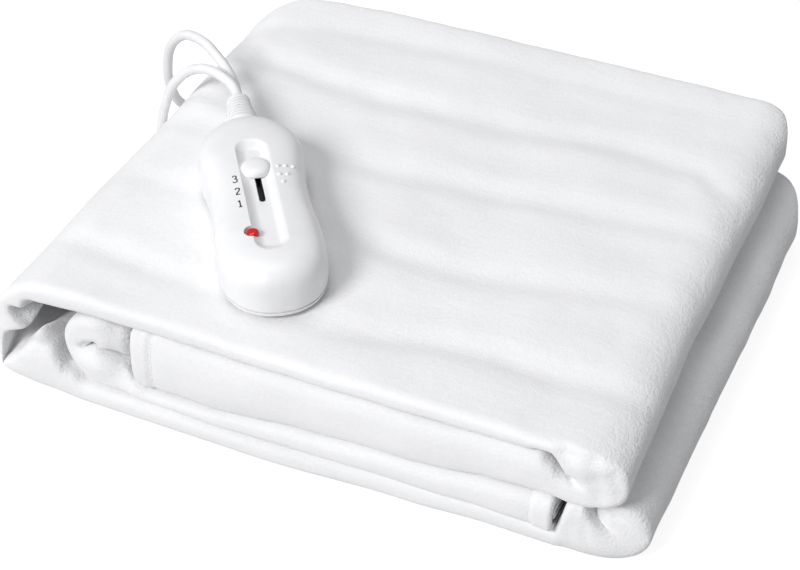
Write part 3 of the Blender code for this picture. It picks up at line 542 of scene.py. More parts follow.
# ==================================================================== materials
class Board:
    """A node tree that is filled node by node."""

    def __init__(self, tree):
        self.tree = tree

    def node(self, kind, **settings):
        made = self.tree.nodes.new(kind)
        for key, value in settings.items():
            setattr(made, key, value)
        return made

    def link(self, source, target):
        self.tree.links.new(source, target)

    def feed(self, node, **values):
        """Sets inputs by name, or links them to other nodes' outputs."""
        for key, value in values.items():
            slot = node.inputs[key.replace("_", " ")]
            if isinstance(value, bpy.types.NodeSocket):
                self.link(value, slot)
            else:
                slot.default_value = value
        return node

    def noise(self, **values):
        return self.feed(self.node("ShaderNodeTexNoise"), **values).outputs[0]

    def math(self, operation, a, b):
        made = self.node("ShaderNodeMath", operation=operation)
        for slot, value in zip(made.inputs, (a, b)):
            if isinstance(value, float):
                slot.default_value = value
            else:
                self.link(value, slot)
        return made.outputs[0]


def new_group(name, inputs, outputs):
    """A node group with named inputs and outputs: its board, both ends and the place."""
    group = bpy.data.node_groups.new(name, "ShaderNodeTree")
    for title, value in inputs.items():
        made = group.interface.new_socket(name=title, in_out="INPUT",
                                          socket_type="NodeSocketFloat")
        made.default_value = value
    for title in outputs:
        group.interface.new_socket(name=title, in_out="OUTPUT", socket_type="NodeSocketFloat")
    board = Board(group)
    given = board.node("NodeGroupInput").outputs
    result = board.node("NodeGroupOutput")
    place = board.node("ShaderNodeTexCoord").outputs["Object"]
    return board, given, result, place


def make_soft_pile():
    """Brushed pile: fine tufts, longer combed streaks and a cloudy tone."""
    board, given, result, place = new_group(
        "soft_pile", {"Tuft Size": 1.3, "Streak": 0.5, "Mottle": 0.5}, ("Height", "Tone"))
    scale = board.math("DIVIDE", 1000.0, given["Tuft Size"])
    tufts = board.noise(Vector=place, Scale=scale, Detail=3.0, Roughness=0.62)
    combed = board.feed(board.node("ShaderNodeMapping"), Vector=place, Scale=(0.28, 1.0, 1.0))
    combed = combed.outputs["Vector"]
    streaks = board.noise(Vector=combed, Scale=board.math("MULTIPLY", scale, 0.45), Detail=2.0)
    clouds = board.noise(Vector=combed, Scale=34.0, Detail=3.0)
    streak_part = board.math("MULTIPLY", streaks, given["Streak"])
    cloud_part = board.math("MULTIPLY", clouds, given["Mottle"])
    board.feed(result, Height=board.math("ADD", tufts, streak_part),
               Tone=board.math("ADD", board.math("MULTIPLY", tufts, 0.5), cloud_part))
    return board.tree


def make_moulded_skin():
    """Moulded plastic: a fine grain, handling marks in the gloss and a faint unevenness."""
    board, given, result, place = new_group(
        "moulded_skin", {"Grain Size": 0.5, "Gloss": 0.3, "Handling": 0.1},
        ("Height", "Roughness", "Tone"))
    grain = board.noise(Vector=place, Scale=board.math("DIVIDE", 1000.0, given["Grain Size"]),
                        Detail=2.0)
    marks = board.noise(Vector=place, Scale=90.0, Detail=5.0)
    uneven = board.math("SUBTRACT", marks, 0.5)
    handled = board.math("MULTIPLY", uneven, given["Handling"])
    board.feed(result, Height=grain, Roughness=board.math("ADD", given["Gloss"], handled),
               Tone=marks)
    return board.tree


def new_material(name, **values):
    made = bpy.data.materials.new(name)
    made.use_nodes = True
    board = Board(made.node_tree)
    shader = made.node_tree.nodes["Principled BSDF"]
    board.feed(shader, **values)
    return made, board, shader


def two_tones(board, factor, dark, light):
    ramp = board.node("ShaderNodeValToRGB")
    for stop, tone, place in zip(ramp.color_ramp.elements, (dark, light), TONE_STOPS):
        stop.color = (*tone, 1.0)
        stop.position = place
    return board.feed(ramp, Fac=factor).outputs["Color"]


def bump(board, height, depth_mm, strength):
    made = board.node("ShaderNodeBump")
    return board.feed(made, Distance=depth_mm * MM, Strength=strength,
                      Height=height).outputs["Normal"]


def fleece_material(group, name, finish):
    made, board, shader = new_material(name, Roughness=FLEECE_ROUGHNESS, Sheen_Weight=0.25,
                                       Sheen_Roughness=0.55, Specular_IOR_Level=0.15)
    pile = board.node("ShaderNodeGroup", node_tree=group)
    board.feed(pile, Tuft_Size=finish.tuft, Streak=0.7, Mottle=0.5)
    facing = board.node("ShaderNodeSeparateXYZ")
    board.link(board.node("ShaderNodeNewGeometry").outputs["Normal"], facing.inputs[0])
    worn = board.math("MAXIMUM", facing.outputs["X"], 0.0)
    shaggy = board.math("ADD", board.math("MULTIPLY", worn, RIM_SHAG), TOP_SHAG)
    height = board.math("MULTIPLY", pile.outputs["Height"], shaggy)
    board.feed(shader, Normal=bump(board, height, finish.depth, FLEECE_BUMP),
               Base_Color=two_tones(board, pile.outputs["Tone"], finish.dark, finish.light))
    return made


def plastic_material(group, name, finish):
    made, board, shader = new_material(name)
    skin = board.node("ShaderNodeGroup", node_tree=group)
    board.feed(skin, Grain_Size=finish.grain, Gloss=finish.gloss, Handling=finish.handling)
    board.feed(shader, Roughness=skin.outputs["Roughness"],
               Normal=bump(board, skin.outputs["Height"], finish.depth, PLASTIC_BUMP),
               Base_Color=two_tones(board, skin.outputs["Tone"], finish.dark, finish.light))
    return made


def make_materials():
    pile = make_soft_pile()
    skin = make_moulded_skin()
    made = {name: fleece_material(pile, name, finish) for name, finish in FLEECES.items()}
    made.update((name, plastic_material(skin, name, finish)) for name, finish in PLASTICS.items())
    pin = made["plated_pin"].node_tree.nodes["Principled BSDF"]
    pin.inputs["Metallic"].default_value = 1.0
    # The red lens gets a faint painted glow: a weak red emission that brightens it, though it is no
    # lamp.
    lens = made["red_lens"].node_tree
    Board(lens).feed(lens.nodes["Principled BSDF"], Emission_Color=(0.9, 0.01, 0.01, 1.0),
                     Emission_Strength=0.06, Coat_Weight=0.3)
    return made


# ==================================================================== the blanket
Station = namedtuple("Station", "outer inner outer_f inner_f front back swell part share")


def row_at(rows, x):
    """The row at any place along a layer, read smoothly between its rows."""
    rows = sorted(rows)
    if x <= rows[0].x:
        return rows[0]
    for a, b in zip(rows, rows[1:]):
        if x <= b.x:
            t = smooth_step((x - a.x) / (b.x - a.x))
            return Row(x, *(between(p, q, t) for p, q in zip(a[1:], b[1:])))
    return rows[-1]


def spread_places(stretches):
    """Places along a layer, its stretches in order and each evenly divided."""
    places = []
    for stretch in stretches:
        count = max(1, round(abs(stretch.end - stretch.start) / stretch.pitch))
        places += [between(stretch.start, stretch.end, k / count) for k in range(count)]
    return places + [stretches[-1].end]


def layer_stations(rows, stretches, outer_is_high, part):
    stations = []
    for x in spread_places(stretches):
        row = row_at(rows, x)
        high, low = (x, row.high), (x, row.low)
        high_f, low_f = (x, row.high_f), (x, row.low_f)
        faces = (high, low, high_f, low_f) if outer_is_high else (low, high, low_f, high_f)
        stations.append(Station(*faces, row.front, row.back, 0.0, part, 0.0))
    return stations


def hollow_line(hollow, t):
    """A place on the front line of a hollow, for a share of the fold."""
    line, share = hollow.to_corner, t / hollow.corner
    if t > hollow.corner:
        line, share = hollow.from_corner, (t - hollow.corner) / (1.0 - hollow.corner)
    smooth = evenly(catmull_rom(line, 6), 0.5)
    place = share * (len(smooth) - 1)
    k = min(int(place), len(smooth) - 2)
    return tuple(between(a, b, place - k) for a, b in zip(smooth[k], smooth[k + 1]))


def fold_stations(fold, before, after, going_up, part):
    """Stations round a fold that joins the layer row before to the row after."""
    join = before.x

    def arc(ends, tip, squareness, turn):
        side = power(math.cos(turn), 2.0 / squareness)
        rise = power(math.sin(turn), 2.0 / squareness)
        x = join + (tip - join) * side
        z = between(*ends, 0.5 + 0.5 * rise) + fold.lean * (1.0 - rise * rise)
        return (x, z)

    if going_up:
        outer_ends = ((before.low, after.high), (before.low_f, after.high_f))
        inner_ends = ((before.high, after.low), (before.high_f, after.low_f))
    else:
        outer_ends = ((before.high, after.low), (before.high_f, after.low_f))
        inner_ends = ((before.low, after.high), (before.low_f, after.high_f))
    stations = []
    for k in range(1, fold.steps):
        t = k / fold.steps
        turn = math.pi * (t - 0.5)
        reach = math.cos(turn) ** 2
        rising = turn > 0 if going_up else turn < 0
        squareness = fold.high_power if rising else fold.low_power
        outer = arc(outer_ends[0], fold.tip, squareness, turn)
        outer_f = arc(outer_ends[1], fold.front_tip, squareness, turn)
        inner = arc(inner_ends[0], fold.inner_tip, fold.inner_power, turn)
        if part in HOLLOWS:
            inner_f = hollow_line(HOLLOWS[part], t)
        else:
            inner_f = arc(inner_ends[1], fold.inner_front_tip, fold.inner_power, turn)
        drawn = (outer[0] - join) / (fold.tip - join)
        front = between(before.front, after.front, t) + fold.front_in * reach
        back = between(before.back, after.back, t) - fold.back_in * drawn ** fold.back_power
        stations.append(Station(outer, inner, outer_f, inner_f, front, back, 0.0, part, t))
    return stations


def hem_ends(stations, forward):
    """The stations of a hemmed end: a full rounded edge, and a line of stitches inside it."""
    edge = stations[0] if forward else stations[-1]
    direction = -1.0 if edge.outer[0] < 0 else 1.0

    def moved(push, swell):
        faces = [(p[0] + direction * push, p[1]) for p in edge[:4]]
        return Station(*faces, edge.front, edge.back, swell, "hem", 0.0)

    tip = [moved(push, swell) for push, swell in HEM_TIP]
    kept = []
    for station in stations:
        inside = abs(station.outer[0] - edge.outer[0])
        past = (inside - HEM_DEPTH + HEM_BLEND / 2) / HEM_BLEND
        swell = HEM_SWELL * float(1.0 - smooth_step(past))
        swell -= STITCH_SINK * math.exp(-((inside - HEM_DEPTH) / STITCH_WIDTH) ** 2)
        kept.append(station._replace(swell=swell))
    return tip + kept if forward else kept + list(reversed(tip))


def strip_stations():
    """All stations of the folded strip, from its hemmed end A to its hemmed end B."""
    layer_2 = layer_stations(LAYER_2, [Stretch(-103, -91, 1.5), Stretch(-91, 120, 9),
                                       Stretch(120, 150, 2)], False, "layer_2")
    layer_1 = layer_stations(LAYER_1, [Stretch(150, 120, 2), Stretch(120, -120, 6),
                                       Stretch(-120, -160, 5)], True, "layer_1")
    layer_4 = layer_stations(LAYER_4, [Stretch(-160, -130, 3), Stretch(-130, 145, 10),
                                       Stretch(145, 160, 1.2)], False, "layer_4")
    hidden = layer_stations(HIDDEN_LAYER, [Stretch(160, 140, 2.5), Stretch(140, -90, 20),
                                           Stretch(-90, -128, 4)], True, "hidden_layer")
    layer_3 = layer_stations(LAYER_3, [Stretch(-128, -95, 4), Stretch(-95, 131, 10),
                                       Stretch(131, 143, 1.5)], False, "layer_3")
    stations = hem_ends(layer_2, True)
    stations += fold_stations(UPPER_RIGHT_FOLD, LAYER_2[-1], LAYER_1[0], True, "upper_right")
    stations += layer_1
    stations += fold_stations(LEFT_FOLD, LAYER_1[-1], LAYER_4[0], False, "left_fold")
    stations += layer_4
    stations += fold_stations(LOWER_RIGHT_FOLD, LAYER_4[-1], HIDDEN_LAYER[0], True,
                              "lower_right")
    stations += hidden
    stations += fold_stations(INNER_LEFT_FOLD, HIDDEN_LAYER[-1], LAYER_3[0], False,
                              "inner_left")
    stations += hem_ends(layer_3, False)
    return stations


class Strip:
    """The stations as arrays, with the two faces of the strip at any y."""

    def __init__(self, stations):
        self.stations = stations
        (self.outer, self.inner, self.outer_f, self.inner_f, self.front, self.back,
         self.swell) = (np.array(column, float) for column in zip(*(s[:7] for s in stations)))
        self.front_flat = self.front + ROLL
        self.back_flat = self.back - ROLL
        self.pleat_share = np.array([self.left_share(s) for s in stations])

    @staticmethod
    def left_share(station):
        """Where a station lies in the tall left fold: 0 at the top, 1 at the floor layer."""
        if station.part == "left_fold":
            return station.share
        if station.outer[0] < PLEAT_REACH_X:
            along = (station.outer[0] - LAYER_4[0].x) / PLEAT_SCALE
            if station.part == "layer_4":
                return 1.0 + along
            if station.part == "layer_1":
                return -along
        return NO_PLEAT

    def pleats(self, y):
        """How far the inner face stands into the hollow of the left fold."""
        share = self.pleat_share[:, None]
        stand = np.zeros_like(y)
        for pleat in PLEATS:
            t = np.clip((y - pleat.depth_y) / (pleat.to_depth_y - pleat.depth_y), 0.0, 1.0)
            centre = between(pleat.share, pleat.to_share, t)
            ridge = np.exp(-((share - centre) / pleat.width) ** 2)
            rise = smooth_step((y - pleat.depth_y) / PLEAT_RISE)
            fade = 1.0 - smooth_step((y - pleat.to_depth_y) / PLEAT_FADE)
            stand += pleat.height * ridge * rise * fade
        return stand

    def faces(self, y):
        """Points of the outer and the inner face, for y of shape (stations, columns)."""
        flat = self.front_flat[:, None]
        spread = smooth_step((y - flat) / (SPREAD_Y - flat))[..., None]
        press = smooth_step((y - flat) / (BLEND_Y - flat))[..., None]
        mix = np.concatenate([spread, press], axis=2)
        outer = self.outer_f[:, None] * (1 - mix) + self.outer[:, None] * mix
        inner = self.inner_f[:, None] * (1 - mix) + self.inner[:, None] * mix
        across = inner - outer
        height = np.linalg.norm(across, axis=2, keepdims=True)
        normal = across / height
        outer = outer - normal * self.swell[:, None, None]
        inner = inner + normal * (self.swell[:, None, None] + self.pleats(y)[..., None])
        return outer, inner

    def across(self, y, share, offset):
        """Points at a depth from the inner to the outer face: a share and some plies."""
        outer, inner = self.faces(y)
        through = outer - inner
        height = np.linalg.norm(through, axis=2, keepdims=True)
        ply = np.minimum(PLY, PLY_SHARE * height)
        return inner + through * (share + offset * ply / height)

    def flat_columns(self, y, share, offset):
        point = self.across(y, share, offset)
        return np.stack([point[..., 0], y, point[..., 1]], axis=2)

    def roll_columns(self, angles, share, offset):
        """Points round the front roll at the same depth on both of its sides."""
        y = self.front_flat[:, None]
        first = self.across(y, share, offset)
        last = self.across(y, 1.0 - share, -offset)
        centre = (first + last) / 2
        half = (first - last) / 2
        outer, inner = self.faces(y)
        scale = np.linalg.norm(half, axis=2) / (np.linalg.norm(outer - inner, axis=2) / 2)
        side = np.array([power(math.cos(a), 2.0 / EDGE_POWER) for a in angles])[None, :, None]
        out = np.array([math.sin(a) ** (2.0 / EDGE_POWER) for a in angles])[None, :]
        point = centre + half * side
        reach = (self.front[:, None] - y) - self.swell[:, None]
        y_out = y + reach * out * scale
        return np.stack([point[..., 0], y_out, point[..., 1]], axis=2)

    def back_columns(self, angles, first, last, reach):
        """Points round the fold at the back, between two depths of share and plies."""
        y = self.back_flat[:, None]
        start = self.across(y, *first)
        end = self.across(y, *last)
        side = np.array([power(math.cos(a), BACK_ROUNDING) for a in angles])[None, :, None]
        out = np.array([math.sin(a) ** BACK_ROUNDING for a in angles])[None, :]
        point = (start + end) / 2 + (start - end) / 2 * side
        y_out = y + reach * out + np.zeros_like(point[..., 0])
        return np.stack([point[..., 0], y_out, point[..., 1]], axis=2)


def cloth_sides(strip):
    """The two sides of the one sheet, as grids of stations by columns.

    The sheet starts at its free edge inside the folds, rolls over the front to the outer
    face, turns at the back and at the front again, and ends in its other free edge."""
    def line(start, end, shares):
        return start[:, None] + (end - start)[:, None] * np.asarray(shares)[None, :]

    def half_turn(count):
        return [math.pi * k / (count + 1) for k in range(1, count + 1)]

    run = (strip.back - strip.front).mean() - ROLL
    closing = 1.0 - np.linspace(1.0, 0.0, INNER_COLUMNS) ** 1.5
    first_shares = np.concatenate([np.array(FREE_HEM) / run,
                                   between(FREE_HEM_END / run, 1.0, closing)])
    first_thin = np.array([*FREE_HEM_THIN] + [1.0] * (len(first_shares) - len(FREE_HEM_THIN)))
    first_hem = np.array([*FREE_HEM_SINK] + [0.0] * INNER_COLUMNS)
    outer_shares = np.linspace(0.0, 1.0, OUTER_COLUMNS)
    hidden_shares = np.linspace(0.0, 1.0, HIDDEN_COLUMNS)
    last_shares = np.append(hidden_shares[:-1], [0.985, 0.998, 1.0])
    last_thin = np.array([1.0] * HIDDEN_COLUMNS + [*reversed(FREE_HEM_THIN)])

    y_first = line(strip.back - FREE_EDGE_IN, strip.front_flat, first_shares)
    y_outer = line(strip.front_flat, strip.back_flat, outer_shares)
    y_third = line(strip.back_flat, strip.front_flat, hidden_shares)
    y_last = line(strip.front_flat, strip.back - LAST_EDGE_IN, last_shares)

    sides = []
    for sign, depth in ((1.0, 0.0), (-1.0, 1.0)):
        first_depth = 0.5 + first_hem - sign * first_thin / 2
        third_depth = 0.5 * sign
        last_depth = -0.5 * sign
        back_reach = ROLL if sign > 0 else ROLL - PLY
        third = (HIDDEN_PLY, -third_depth)
        last_place = -last_depth * last_thin[None, :, None]
        sides.append(np.concatenate([
            strip.flat_columns(y_first, 0.0, first_depth[None, :, None]),
            strip.roll_columns(half_turn(ROLL_COLUMNS), 0.0, depth),
            strip.flat_columns(y_outer, 1.0, -depth),
            strip.back_columns(half_turn(BACK_COLUMNS), (1.0, -depth), third, back_reach),
            strip.flat_columns(y_third, *third),
            strip.roll_columns(half_turn(HIDDEN_ROLL_COLUMNS), *third),
            strip.flat_columns(y_last, 1.0 - HIDDEN_PLY, last_place),
        ], axis=1))
    return sides


def channel_sink(x, y):
    """How far the top sinks at the heating channels."""
    sink = np.zeros_like(x)
    for channel in CHANNELS:
        line_x, line_y = zip(*channel.places)
        depth_x, depth = zip(*channel.depths)
        away = (y - np.interp(x, line_x, line_y)) / channel.width
        sink += np.interp(x, depth_x, depth) * np.exp(-away ** 2)
    return sink


def front_creases(x, y, z):
    """How far the ends of the folds are creased back or stand forward."""
    push = np.zeros_like(x)
    for crease in CREASES:
        start = np.array([crease.x, crease.z])
        along = np.array([crease.to_x, crease.to_z]) - start
        t = ((x - start[0]) * along[0] + (z - start[1]) * along[1]) / (along @ along)
        t = np.clip(t, 0.0, 1.0)
        away = np.hypot(x - start[0] - t * along[0], z - start[1] - t * along[1])
        push += crease.depth * np.exp(-(away / crease.width) ** 2)
    fade = 1.0 - smooth_step((y - CREASE_FADE_Y) / CREASE_FADE)
    return push * fade


def settle(points):
    """The cloth as it lies: channels, creased ends, and soft unevenness all over."""
    x, y, z = points[:, 0].copy(), points[:, 1].copy(), points[:, 2].copy()
    lifted = smooth_step((z - CHANNEL_FROM_Z) / CHANNEL_BLEND)
    z_new = z - channel_sink(x, y) * lifted
    y_new = y + front_creases(x, y, z)
    free = smooth_step(z / FLOOR_BLEND)
    noise.seed_set(WAVE_SEED)
    soft = np.zeros((len(points), 3))
    for size, amount in WAVES:
        for i, (a, b, c) in enumerate(zip(x, y, z)):
            wave = noise.noise_vector(Vector((a / size, b / size, c / size + size)))
            soft[i] += np.array(wave) * amount
    return np.stack([x, y_new, z_new], axis=1) + soft * free[:, None]


def make_blanket(materials):
    strip = Strip(strip_stations())
    side_1, side_2 = cloth_sides(strip)
    rows, columns = side_1.shape[:2]
    count = rows * columns
    points = np.concatenate([side_1.reshape(-1, 3), side_2.reshape(-1, 3)])
    points = settle(points)

    faces = []
    for i in range(rows - 1):
        for k in range(columns - 1):
            a, b = i * columns + k, i * columns + k + 1
            c, d = (i + 1) * columns + k + 1, (i + 1) * columns + k
            faces.append((a, b, c, d))
            faces.append((count + d, count + c, count + b, count + a))
        for k in (0, columns - 1):
            a, d = i * columns + k, (i + 1) * columns + k
            wall = (a, d, count + d, count + a)
            faces.append(wall if k == 0 else tuple(reversed(wall)))
    for k in range(columns - 1):
        for i in (0, rows - 1):
            a, b = i * columns + k, i * columns + k + 1
            wall = (a, count + a, count + b, b)
            faces.append(wall if i == 0 else tuple(reversed(wall)))
    cloth = add_mesh("fleece_blanket", points, faces, materials["white_fleece"])
    face_outwards(cloth)
    grid = points[:count].reshape(rows, columns, 3)
    return cloth, strip, grid


def stitch_loops(start, end, up):
    """A short thread that dips into the cloth at both ends."""
    start, end, up = (np.asarray(v, float) for v in (start, end, up))
    along = (end - start) / np.linalg.norm(end - start)
    side = np.cross(along, up)
    loops = []
    for t in (0.0, 0.2, 0.5, 0.8, 1.0):
        rise = THREAD_ARCH * math.sin(math.pi * t) - THREAD_SUNK
        centre = between(start, end, t) + up * rise
        thick = THREAD_RADIUS * (0.7 if t in (0.0, 1.0) else 1.0)
        loops.append([centre + (side * x + up * z) * thick for x, z in circle(THREAD_SIDES)])
    return loops


def make_stitches(strip, grid, materials):
    """Rows of stitches along the hems of both ends and of the free edge at the back."""
    points, faces = [], []
    outer_from = len(FREE_HEM) + INNER_COLUMNS
    outer_to = outer_from + ROLL_COLUMNS + OUTER_COLUMNS
    for part in ("layer_2", "layer_3"):
        row = min((i for i, s in enumerate(strip.stations) if s.part == part),
                  key=lambda i: strip.swell[i])
        line = [tuple(p) for p in grid[row, outer_from:outer_to]]
        beside = [tuple(p) for p in grid[row - 1, outer_from:outer_to]]
        sew(points, faces, line, beside, STITCH_PITCH)
    edge = [tuple(p) for p in grid[:, FREE_HEM_STITCHES]]
    beside = [tuple(p) for p in grid[:, FREE_HEM_STITCHES + 1]]
    sew(points, faces, edge, beside, STITCH_PITCH * 1.6)
    return add_mesh("hem_stitches", points, faces, materials["white_thread"])


def sew(points, faces, line, beside, pitch):
    places = evenly(line, pitch)
    others = evenly(beside, pitch)
    for a, b, c in zip(places, places[1:], others):
        add_one_stitch(points, faces, a, b, c)


def add_one_stitch(points, faces, a, b, beside):
    a, b, beside = (np.array(v) for v in (a, b, beside))
    along = b - a
    length = np.linalg.norm(along)
    if length < 1.0:
        return
    along /= length
    up = np.cross(along, beside - a)
    size = np.linalg.norm(up)
    if size < 1e-6:
        return
    up /= size
    share = (length - STITCH_LENGTH) / 2 if length > STITCH_LENGTH else length * 0.15
    loops = stitch_loops(a + along * share, b - along * share, up)
    add_loops(points, faces, loops)


# ==================================================================== the controller
def controller_matrix():
    place = Matrix.Translation(Vector((*CONTROLLER_AT, CONTROLLER_BASE)) * MM)
    return place @ Matrix.Rotation(math.radians(CONTROLLER_TURN), 4, "Z")


SEAT = controller_matrix()


def seat(thing):
    """Puts a piece of the controller in its place on the blanket, in its mesh."""
    thing.data.transform(SEAT)
    return thing


def smooth_outline():
    right = catmull_rom([(row.half, row.y) for row in OUTLINE], 8)
    left = [(-x, y) for x, y in reversed(right[1:-1])]
    ring = right + left + [right[0]]
    length = sum(math.dist(p, q) for p, q in zip(ring, ring[1:]))
    return np.array(evenly(ring, length / OUTLINE_COUNT)[:-1])


def housing_loop(outline, z, inset):
    shrink = np.array([1.0 - inset / HALF_WIDTH, 1.0 - inset / HALF_LENGTH])
    return np.column_stack([outline * shrink, np.full(len(outline), z)])


def shell_height(x, y):
    """Height of the upper housing's skin over its underside, without its recess."""
    line = sorted((q, p) for p, q in catmull_rom([(row.half, row.y) for row in OUTLINE], 8))
    line_y, line_half = zip(*line)
    steps = catmull_rom([(v.inset, v.z) for v in UPPER_LEVELS[WIDEST_LEVEL:]], 6)
    insets, heights = zip(*steps)
    x, y = np.abs(np.asarray(x, float)), np.asarray(y, float)
    low, high = np.zeros(x.shape), np.full(x.shape, insets[-1])
    for _ in range(26):
        middle = (low + high) / 2
        half = np.interp(y / (1.0 - middle / HALF_LENGTH), line_y, line_half, 0.0, 0.0)
        inside = x <= half * (1.0 - middle / HALF_WIDTH)
        low = np.where(inside, middle, low)
        high = np.where(inside, high, middle)
    return np.interp(low, insets, heights)


def stadium_ring(half, y_low, y_high, count=OUTLINE_COUNT):
    """Points round a long hole from its lowest point, and which way each one faces."""
    straight = y_high - y_low - 2 * half
    quarter = math.pi * half / 2
    whole = 2 * straight + 4 * quarter
    points, normals = [], []
    for k in range(count):
        along = whole * k / count
        side = 1.0
        if along > whole / 2:
            along, side = whole - along, -1.0
        if along < quarter:
            angle, centre = along / half - math.pi / 2, y_low + half
        elif along < quarter + straight:
            angle, centre = 0.0, y_low + half + along - quarter
        else:
            angle, centre = (along - quarter - straight) / half, y_high - half
        facing = (side * math.cos(angle), math.sin(angle))
        normals.append(facing)
        points.append((half * facing[0], centre + half * facing[1]))
    return np.array(points), np.array(normals)


def upper_housing_loops():
    """Rings from the parting line up over the shoulder, down into the recess and its slot."""
    outline = smooth_outline()
    sides = catmull_rom([(v.z, v.inset) for v in UPPER_LEVELS], 4)
    loops = [housing_loop(outline, z, inset) for z, inset in sides if inset <= SHOULDER_INSET]
    shoulder = loops[-1][:, :2]
    rim, facing = stadium_ring(RECESS_HALF, RECESS_BOTTOM_Y, RECESS_TOP_Y)
    for t in np.linspace(0.0, 1.0, 19)[1:]:
        place = between(shoulder, rim, t)
        loops.append(np.column_stack([place, shell_height(place[:, 0], place[:, 1])]))
    right, left = np.maximum(facing[:, 0], 0.0), np.maximum(-facing[:, 0], 0.0)
    top, bottom = np.maximum(facing[:, 1], 0.0), np.maximum(-facing[:, 1], 0.0)
    wall = (WALL_RIGHT * right ** 2 + WALL_LEFT * left ** 2 + WALL_TOP * top ** 2
            + WALL_BOTTOM * bottom ** 2)[:, None]
    for t in (0.04, 0.1, 0.18, 0.27, 0.37, 0.47, 0.57, 0.67, 0.77, 0.86, 0.94, 1.0):
        place = rim - facing * wall * t
        drop = between(smooth_step(t), 1.0 - (1.0 - t) ** 1.8, left)
        height = between(shell_height(place[:, 0], place[:, 1]), RECESS_FLOOR, drop)
        loops.append(np.column_stack([place, height]))
    foot = loops[-1][:, :2]
    mouth, _ = stadium_ring(SLOT_HALF + 0.3, SLOT_BOTTOM_Y - 0.3, SLOT_TOP_Y + 0.3)
    for t in (0.3, 0.6, 0.85, 1.0):
        place = between(foot, mouth, t)
        loops.append(np.column_stack([place, np.full(len(place), RECESS_FLOOR)]))
    for draw, z in ((0.1, RECESS_FLOOR - 0.1), (0.0, RECESS_FLOOR - 0.4),
                    (0.0, RECESS_FLOOR - SLOT_DEPTH)):
        place, _ = stadium_ring(SLOT_HALF + draw, SLOT_BOTTOM_Y - draw, SLOT_TOP_Y + draw)
        loops.append(np.column_stack([place, np.full(len(place), z)]))
    return [[tuple(p) for p in loop] for loop in loops]


def disc_loop(x, y, z, radius, sides=40):
    return [(x + radius * a, y + radius * b, z) for a, b in circle(sides)]


def oval_loop(y, half_x, half_z):
    """An upright ring round the line of the boot."""
    return [(half_x * a, y, BOOT_Z + half_z * b) for a, b in circle(40)]


def cut_out(body, cutters, sharp_angle):
    """Cuts holes, takes the cutters away and keeps the rims crisp."""
    for cutter in cutters:
        boolean = body.modifiers.new("cut", "BOOLEAN")
        boolean.operation = "DIFFERENCE"
        boolean.solver = "EXACT"
        boolean.object = cutter
    depsgraph = bpy.context.evaluated_depsgraph_get()
    mesh = bpy.data.meshes.new_from_object(body.evaluated_get(depsgraph))
    body.modifiers.clear()
    old = body.data
    body.data = mesh
    bpy.data.meshes.remove(old)
    for cutter in cutters:
        bpy.data.objects.remove(cutter, do_unlink=True)
    mesh.shade_smooth()
    mesh.set_sharp_from_angle(angle=math.radians(sharp_angle))


def make_housings(materials):
    upper = loft("controller_top_shell", upper_housing_loops(), materials["white_housing"])
    outline = smooth_outline()
    lower_levels = catmull_rom([(v.z, v.inset) for v in LOWER_LEVELS], 3)
    lower = loft("controller_base_shell",
                 [[tuple(p) for p in housing_loop(outline, z, inset)] for z, inset in lower_levels],
                 materials["white_housing"], 40)
    pit = loft("pit", [
        disc_loop(*LENS_PIT_AT, LENS_PIT_FLOOR, LENS_PIT_RADIUS),
        disc_loop(*LENS_PIT_AT, HOUSING_TOP + 1.0, LENS_PIT_RADIUS + 0.4)], None)
    hole = loft("hole", [
        oval_loop(y, *(size + GAP for size in BOOT_NECK))
        for y in (HALF_LENGTH - BOOT_IN - GAP, HALF_LENGTH + 6.0)], None)
    cut_out(upper, (pit, hole), 42)
    for shell in (upper, lower):
        seat(shell)
        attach(shell, MAIN)
    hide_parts("controller_upper_housing")
    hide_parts("controller_lower_housing")


def make_slot_liner(materials):
    """The black bottom of the slot, with a thin black collar against its walls."""
    low = RECESS_FLOOR - SLOT_DEPTH + GAP
    sections = ((0.0, low), (0.0, RECESS_FLOOR - 0.5), (0.35, RECESS_FLOOR - 0.5),
                (0.35, low + 0.5))
    loops = []
    for inset, z in sections:
        inside = GAP / 2 + inset
        ring, _ = stadium_ring(SLOT_HALF - inside, SLOT_BOTTOM_Y + inside, SLOT_TOP_Y - inside, 72)
        loops.append([(x, y, z) for x, y in ring])
    liner = loft("slider_slot_liner", loops, materials["black_liner"], 30)
    seat(liner)
    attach(liner, MAIN)
    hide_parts("controller_slot_liner")


def make_knob(materials):
    rest = RECESS_FLOOR + GAP
    loops = [disc_loop(0.0, KNOB_Y, rest + KNOB_HEIGHT * rise, KNOB_RADIUS * spread, 64)
             for spread, rise in catmull_rom(KNOB_PROFILE, 3)]
    knob = loft("slider_knob", loops, materials["white_knob"], 60)
    seat(knob)
    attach(knob, SLIDER)
    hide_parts("controller_slider_knob")


def make_lens(materials):
    base = LENS_PIT_FLOOR + GAP
    loops = [disc_loop(*LENS_AT, base + rise, LENS_RADIUS * spread)
             for spread, rise in LENS_PROFILE]
    lens = loft("indicator_lens", loops, materials["red_lens"], 60)
    seat(lens)
    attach(lens, MAIN)
    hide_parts("controller_indicator_lens")


